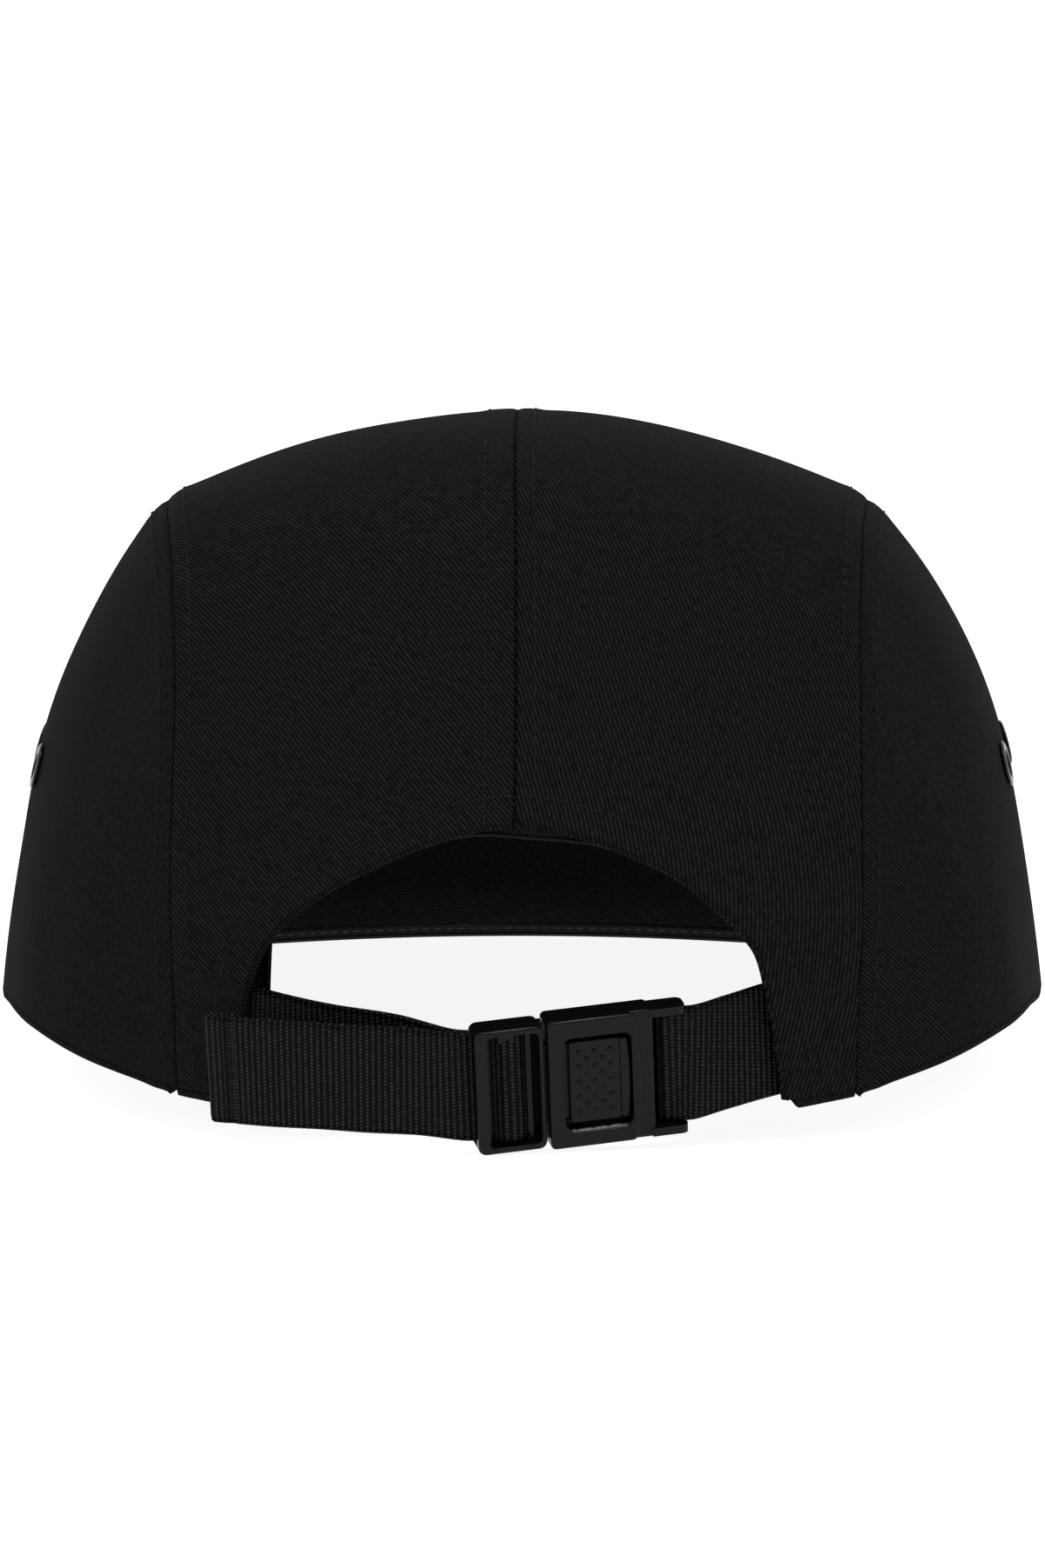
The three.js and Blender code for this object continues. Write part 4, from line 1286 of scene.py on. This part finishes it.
def strapPath(rows, hem=0.0):
    # evenly spaced middle points and upward ways; a hem turns the last end under on itself
    u = np.linspace(0, 1, 3000)
    line = throughUnevenRows(np.array([row[0] for row in rows]), u)
    up = throughRows(np.array([row[1] for row in rows]), u)
    if hem:
        way, top = unit(line[-1] - line[-2]), unit(up[-1])
        under = unit(np.cross(way, top))
        if under[1] > 0:
            under = -under
        turn = np.linspace(0, math.pi, 40)[1:, None]
        bend = line[-1] + strap["fold"] * (way * np.sin(turn) + under * (1 - np.cos(turn)))
        back = bend[-1] - way * np.linspace(0, hem, 60)[1:, None]
        line = np.vstack([line, bend, back])
        up = np.vstack([up, np.repeat(up[-1:], len(bend) + len(back), 0)])
    at = alongLine(line)
    even = np.linspace(0, at[-1], int(at[-1] / strap["step"]))
    return readAt(even, at, line), readAt(even, at, up), even


def webbingPiece(name, rows, node, hem=0.0):
    line, up, at = strapPath(rows, hem)
    out = unit(np.cross(unit(np.gradient(line, axis=0)), up))
    half = strap["width"] / 2
    width = np.linspace(-0.5, 0.5, strap["columns"]) * (strap["width"] - 2 * strap["edge"])
    tucked = at[-1] - hem - math.pi * strap["fold"]  # where the webbing turns under at its hem
    seam = (np.exp(-((at - tucked + hem) / strap["seam"])**4) * (hem > 0))[:, None]
    seamAt = int(np.argmax(seam[:, 0]))
    flat = at + (at[seamAt] - at) * seam[:, 0]  # no ribs show in the pinched seam
    rib = np.abs(np.sin(math.pi * at / webbing["rib"]))[:, None] * (1 - seam)
    edge = smooth(np.abs(width), half - strap["thinFrom"], half - strap["thinTo"])[None]
    thick = strap["thick"] / 2 - strap["relief"] * (1 - rib) - strap["thin"] * edge
    thick = thick - strap["pinch"] * seam
    middle = line[:, None] + up[:, None] * width[None, :, None]
    ripple = strap["ripple"] * np.sin(at[:, None] / 3.1 + width[None] / 5)[..., None]
    middle = middle + ripple * out[:, None]
    thick = out[:, None] * thick[..., None]
    outer, inner = middle - thick, middle + thick
    uv = np.stack(np.broadcast_arrays(flat[:, None], width[None]), -1)
    edges = (strap["edge"], strap["edge"], 0.35, 0.35)
    piece = finish(shell(name, outer, inner, uv, edges, rounds=3), ribbedWebbing, "webbing", node)
    if hem:
        face = inner if (inner[seamAt, 0] - outer[seamAt, 0])[1] > 0 else outer
        facing = np.tile(unit(face[seamAt].mean(0) - line[seamAt]), (strap["columns"], 1))
        row = stitchRow(face[seamAt], facing, strap["pitch"], strap["stitch"])
        sewn("topstitching_strap_hem", [row], "webbing")
    return piece, at[-1]


adjust = [
    hung(49, 76.2, 16.6, -6), hung(44, 79.5, 16, -6), hung(36.7, 84.2, 14.7, -2),
    hung(27, 88.4, 13.4, 5), hung(16.6, 91.2, 12.4, 10), onBuckle(-12.5, -1.75, 0.6),
    onBuckle(-8, -1.75, 0.3), onBuckle(-4.4, -1.75), onBuckle(-3.6, -0.9), onBuckle(-3.6, 0.3),
    onBuckle(-4.6, 1.15), onBuckle(-6, 1.15), onBuckle(-7.6, -0.1), onBuckle(-9.6, -0.3, 0.3),
    onBuckle(-12.5, 0, 0.7), hung(14, 94.5, 11.1, 14, 0), hung(22, 93.9, 11.4, 14, 0),
    hung(29, 92.9, 11.7, 14, 0.001), hung(35.8, 91.3, 11.8, 14, 0.002),
    hung(41, 89.4, 11.9, 14, 0.003), hung(45.2, 87.4, 11.9, 14, 0.003),
]
strapAdjust, adjustLength = webbingPiece("strap_adjusting_webbing", adjust, "strap_adjust",
                                         strap["hem"])
fixed = [
    hung(-49, 75.2, 17.2, -6), hung(-44, 78.8, 16.6, -6), hung(-38, 82.6, 15.6, -4),
    hung(-32, 85.2, 14.1, 0), hung(-27.6, 87, 12.9, 3), onBuckle(19.8, 0.55),
    onBuckle(18.5, 0.2), onBuckle(18.1, -0.95), onBuckle(18.5, -2.1), onBuckle(19.8, -2.5),
    hung(-26.9, 84.1, 12.7, 3), hung(-32, 83, 13.9, 0), hung(-38, 81, 15.4, -4),
    hung(-44, 77, 16.6, -6), hung(-49, 73.4, 17.2, -6),
]
strapFixed, fixedLength = webbingPiece("strap_fixed_webbing", fixed, "strap_fixed")
print("straps made", round(adjustLength, 1), round(fixedLength, 1))


# ---- stage, lights and camera

# Back-lit acrylic of a light table: an even white that keeps only a trace of shadow
floorMaterial = newMaterial("backlit_white_acrylic", {
    "Base Color": tint("#a8a8a8"), "Roughness": 0.9, "Specular IOR Level": 0.0,
    "Emission Color": (1, 1, 1, 1), "Emission Strength": 0.9,
}, lambda tree: {})
# the folded rim reaches 0.42 mm below the solids
bpy.ops.mesh.primitive_plane_add(size=80, location=(0, 0, -0.00042))
floor = bpy.context.object
floor.name = "floor"
floor.data.materials.append(floorMaterial)

studio = bpy.data.worlds.new("studio")
studio.use_nodes = True
background = studio.node_tree.nodes["Background"].inputs
background["Color"].default_value = (1, 1, 1, 1)
background["Strength"].default_value = 0.9
bpy.context.scene.world = studio

# place and size in metres, and power in watts; all point at the back of the crown
lights = {
    "softbox_overhead": ((-0.27, 0.51, 1.54), 0.2, 9.5),  # mirrored by the buckle's upper edges
    "softbox_camera_left": ((1.3, 1.5, 0.9), 0.9, 6.5),
}
lightTarget = Vector((0, 0.05, 0.05))
for name, (place, size, power) in lights.items():
    light = bpy.data.lights.new(name, "AREA")
    light.shape, light.size, light.energy = "SQUARE", size, power
    holder = bpy.data.objects.new(name, light)
    bpy.context.scene.collection.objects.link(holder)
    holder.location = place
    holder.rotation_euler = (lightTarget - Vector(place)).to_track_quat("-Z", "Y").to_euler()

view = {"place": (-17.35, 1232.5, 180.2), "aim": (-0.36, 32.5, 45.63), "focal": 8520,
        "long": 1800, "sensor": 36}  # focal length and the frame's longer side in pixels
camera = bpy.data.cameras.new("camera")
camera.sensor_width, camera.sensor_fit = view["sensor"], "AUTO"
camera.lens = view["focal"] / view["long"] * view["sensor"]
cameraHolder = bpy.data.objects.new("camera", camera)
bpy.context.scene.collection.objects.link(cameraHolder)
cameraHolder.location = Vector(view["place"]) * mm
aim = (Vector(view["aim"]) - Vector(view["place"])) * mm
cameraHolder.rotation_euler = aim.to_track_quat("-Z", "Y").to_euler()
camera.clip_start, camera.clip_end = 0.05, 200
bpy.context.scene.camera = cameraHolder
bpy.context.scene.view_settings.view_transform = "Standard"
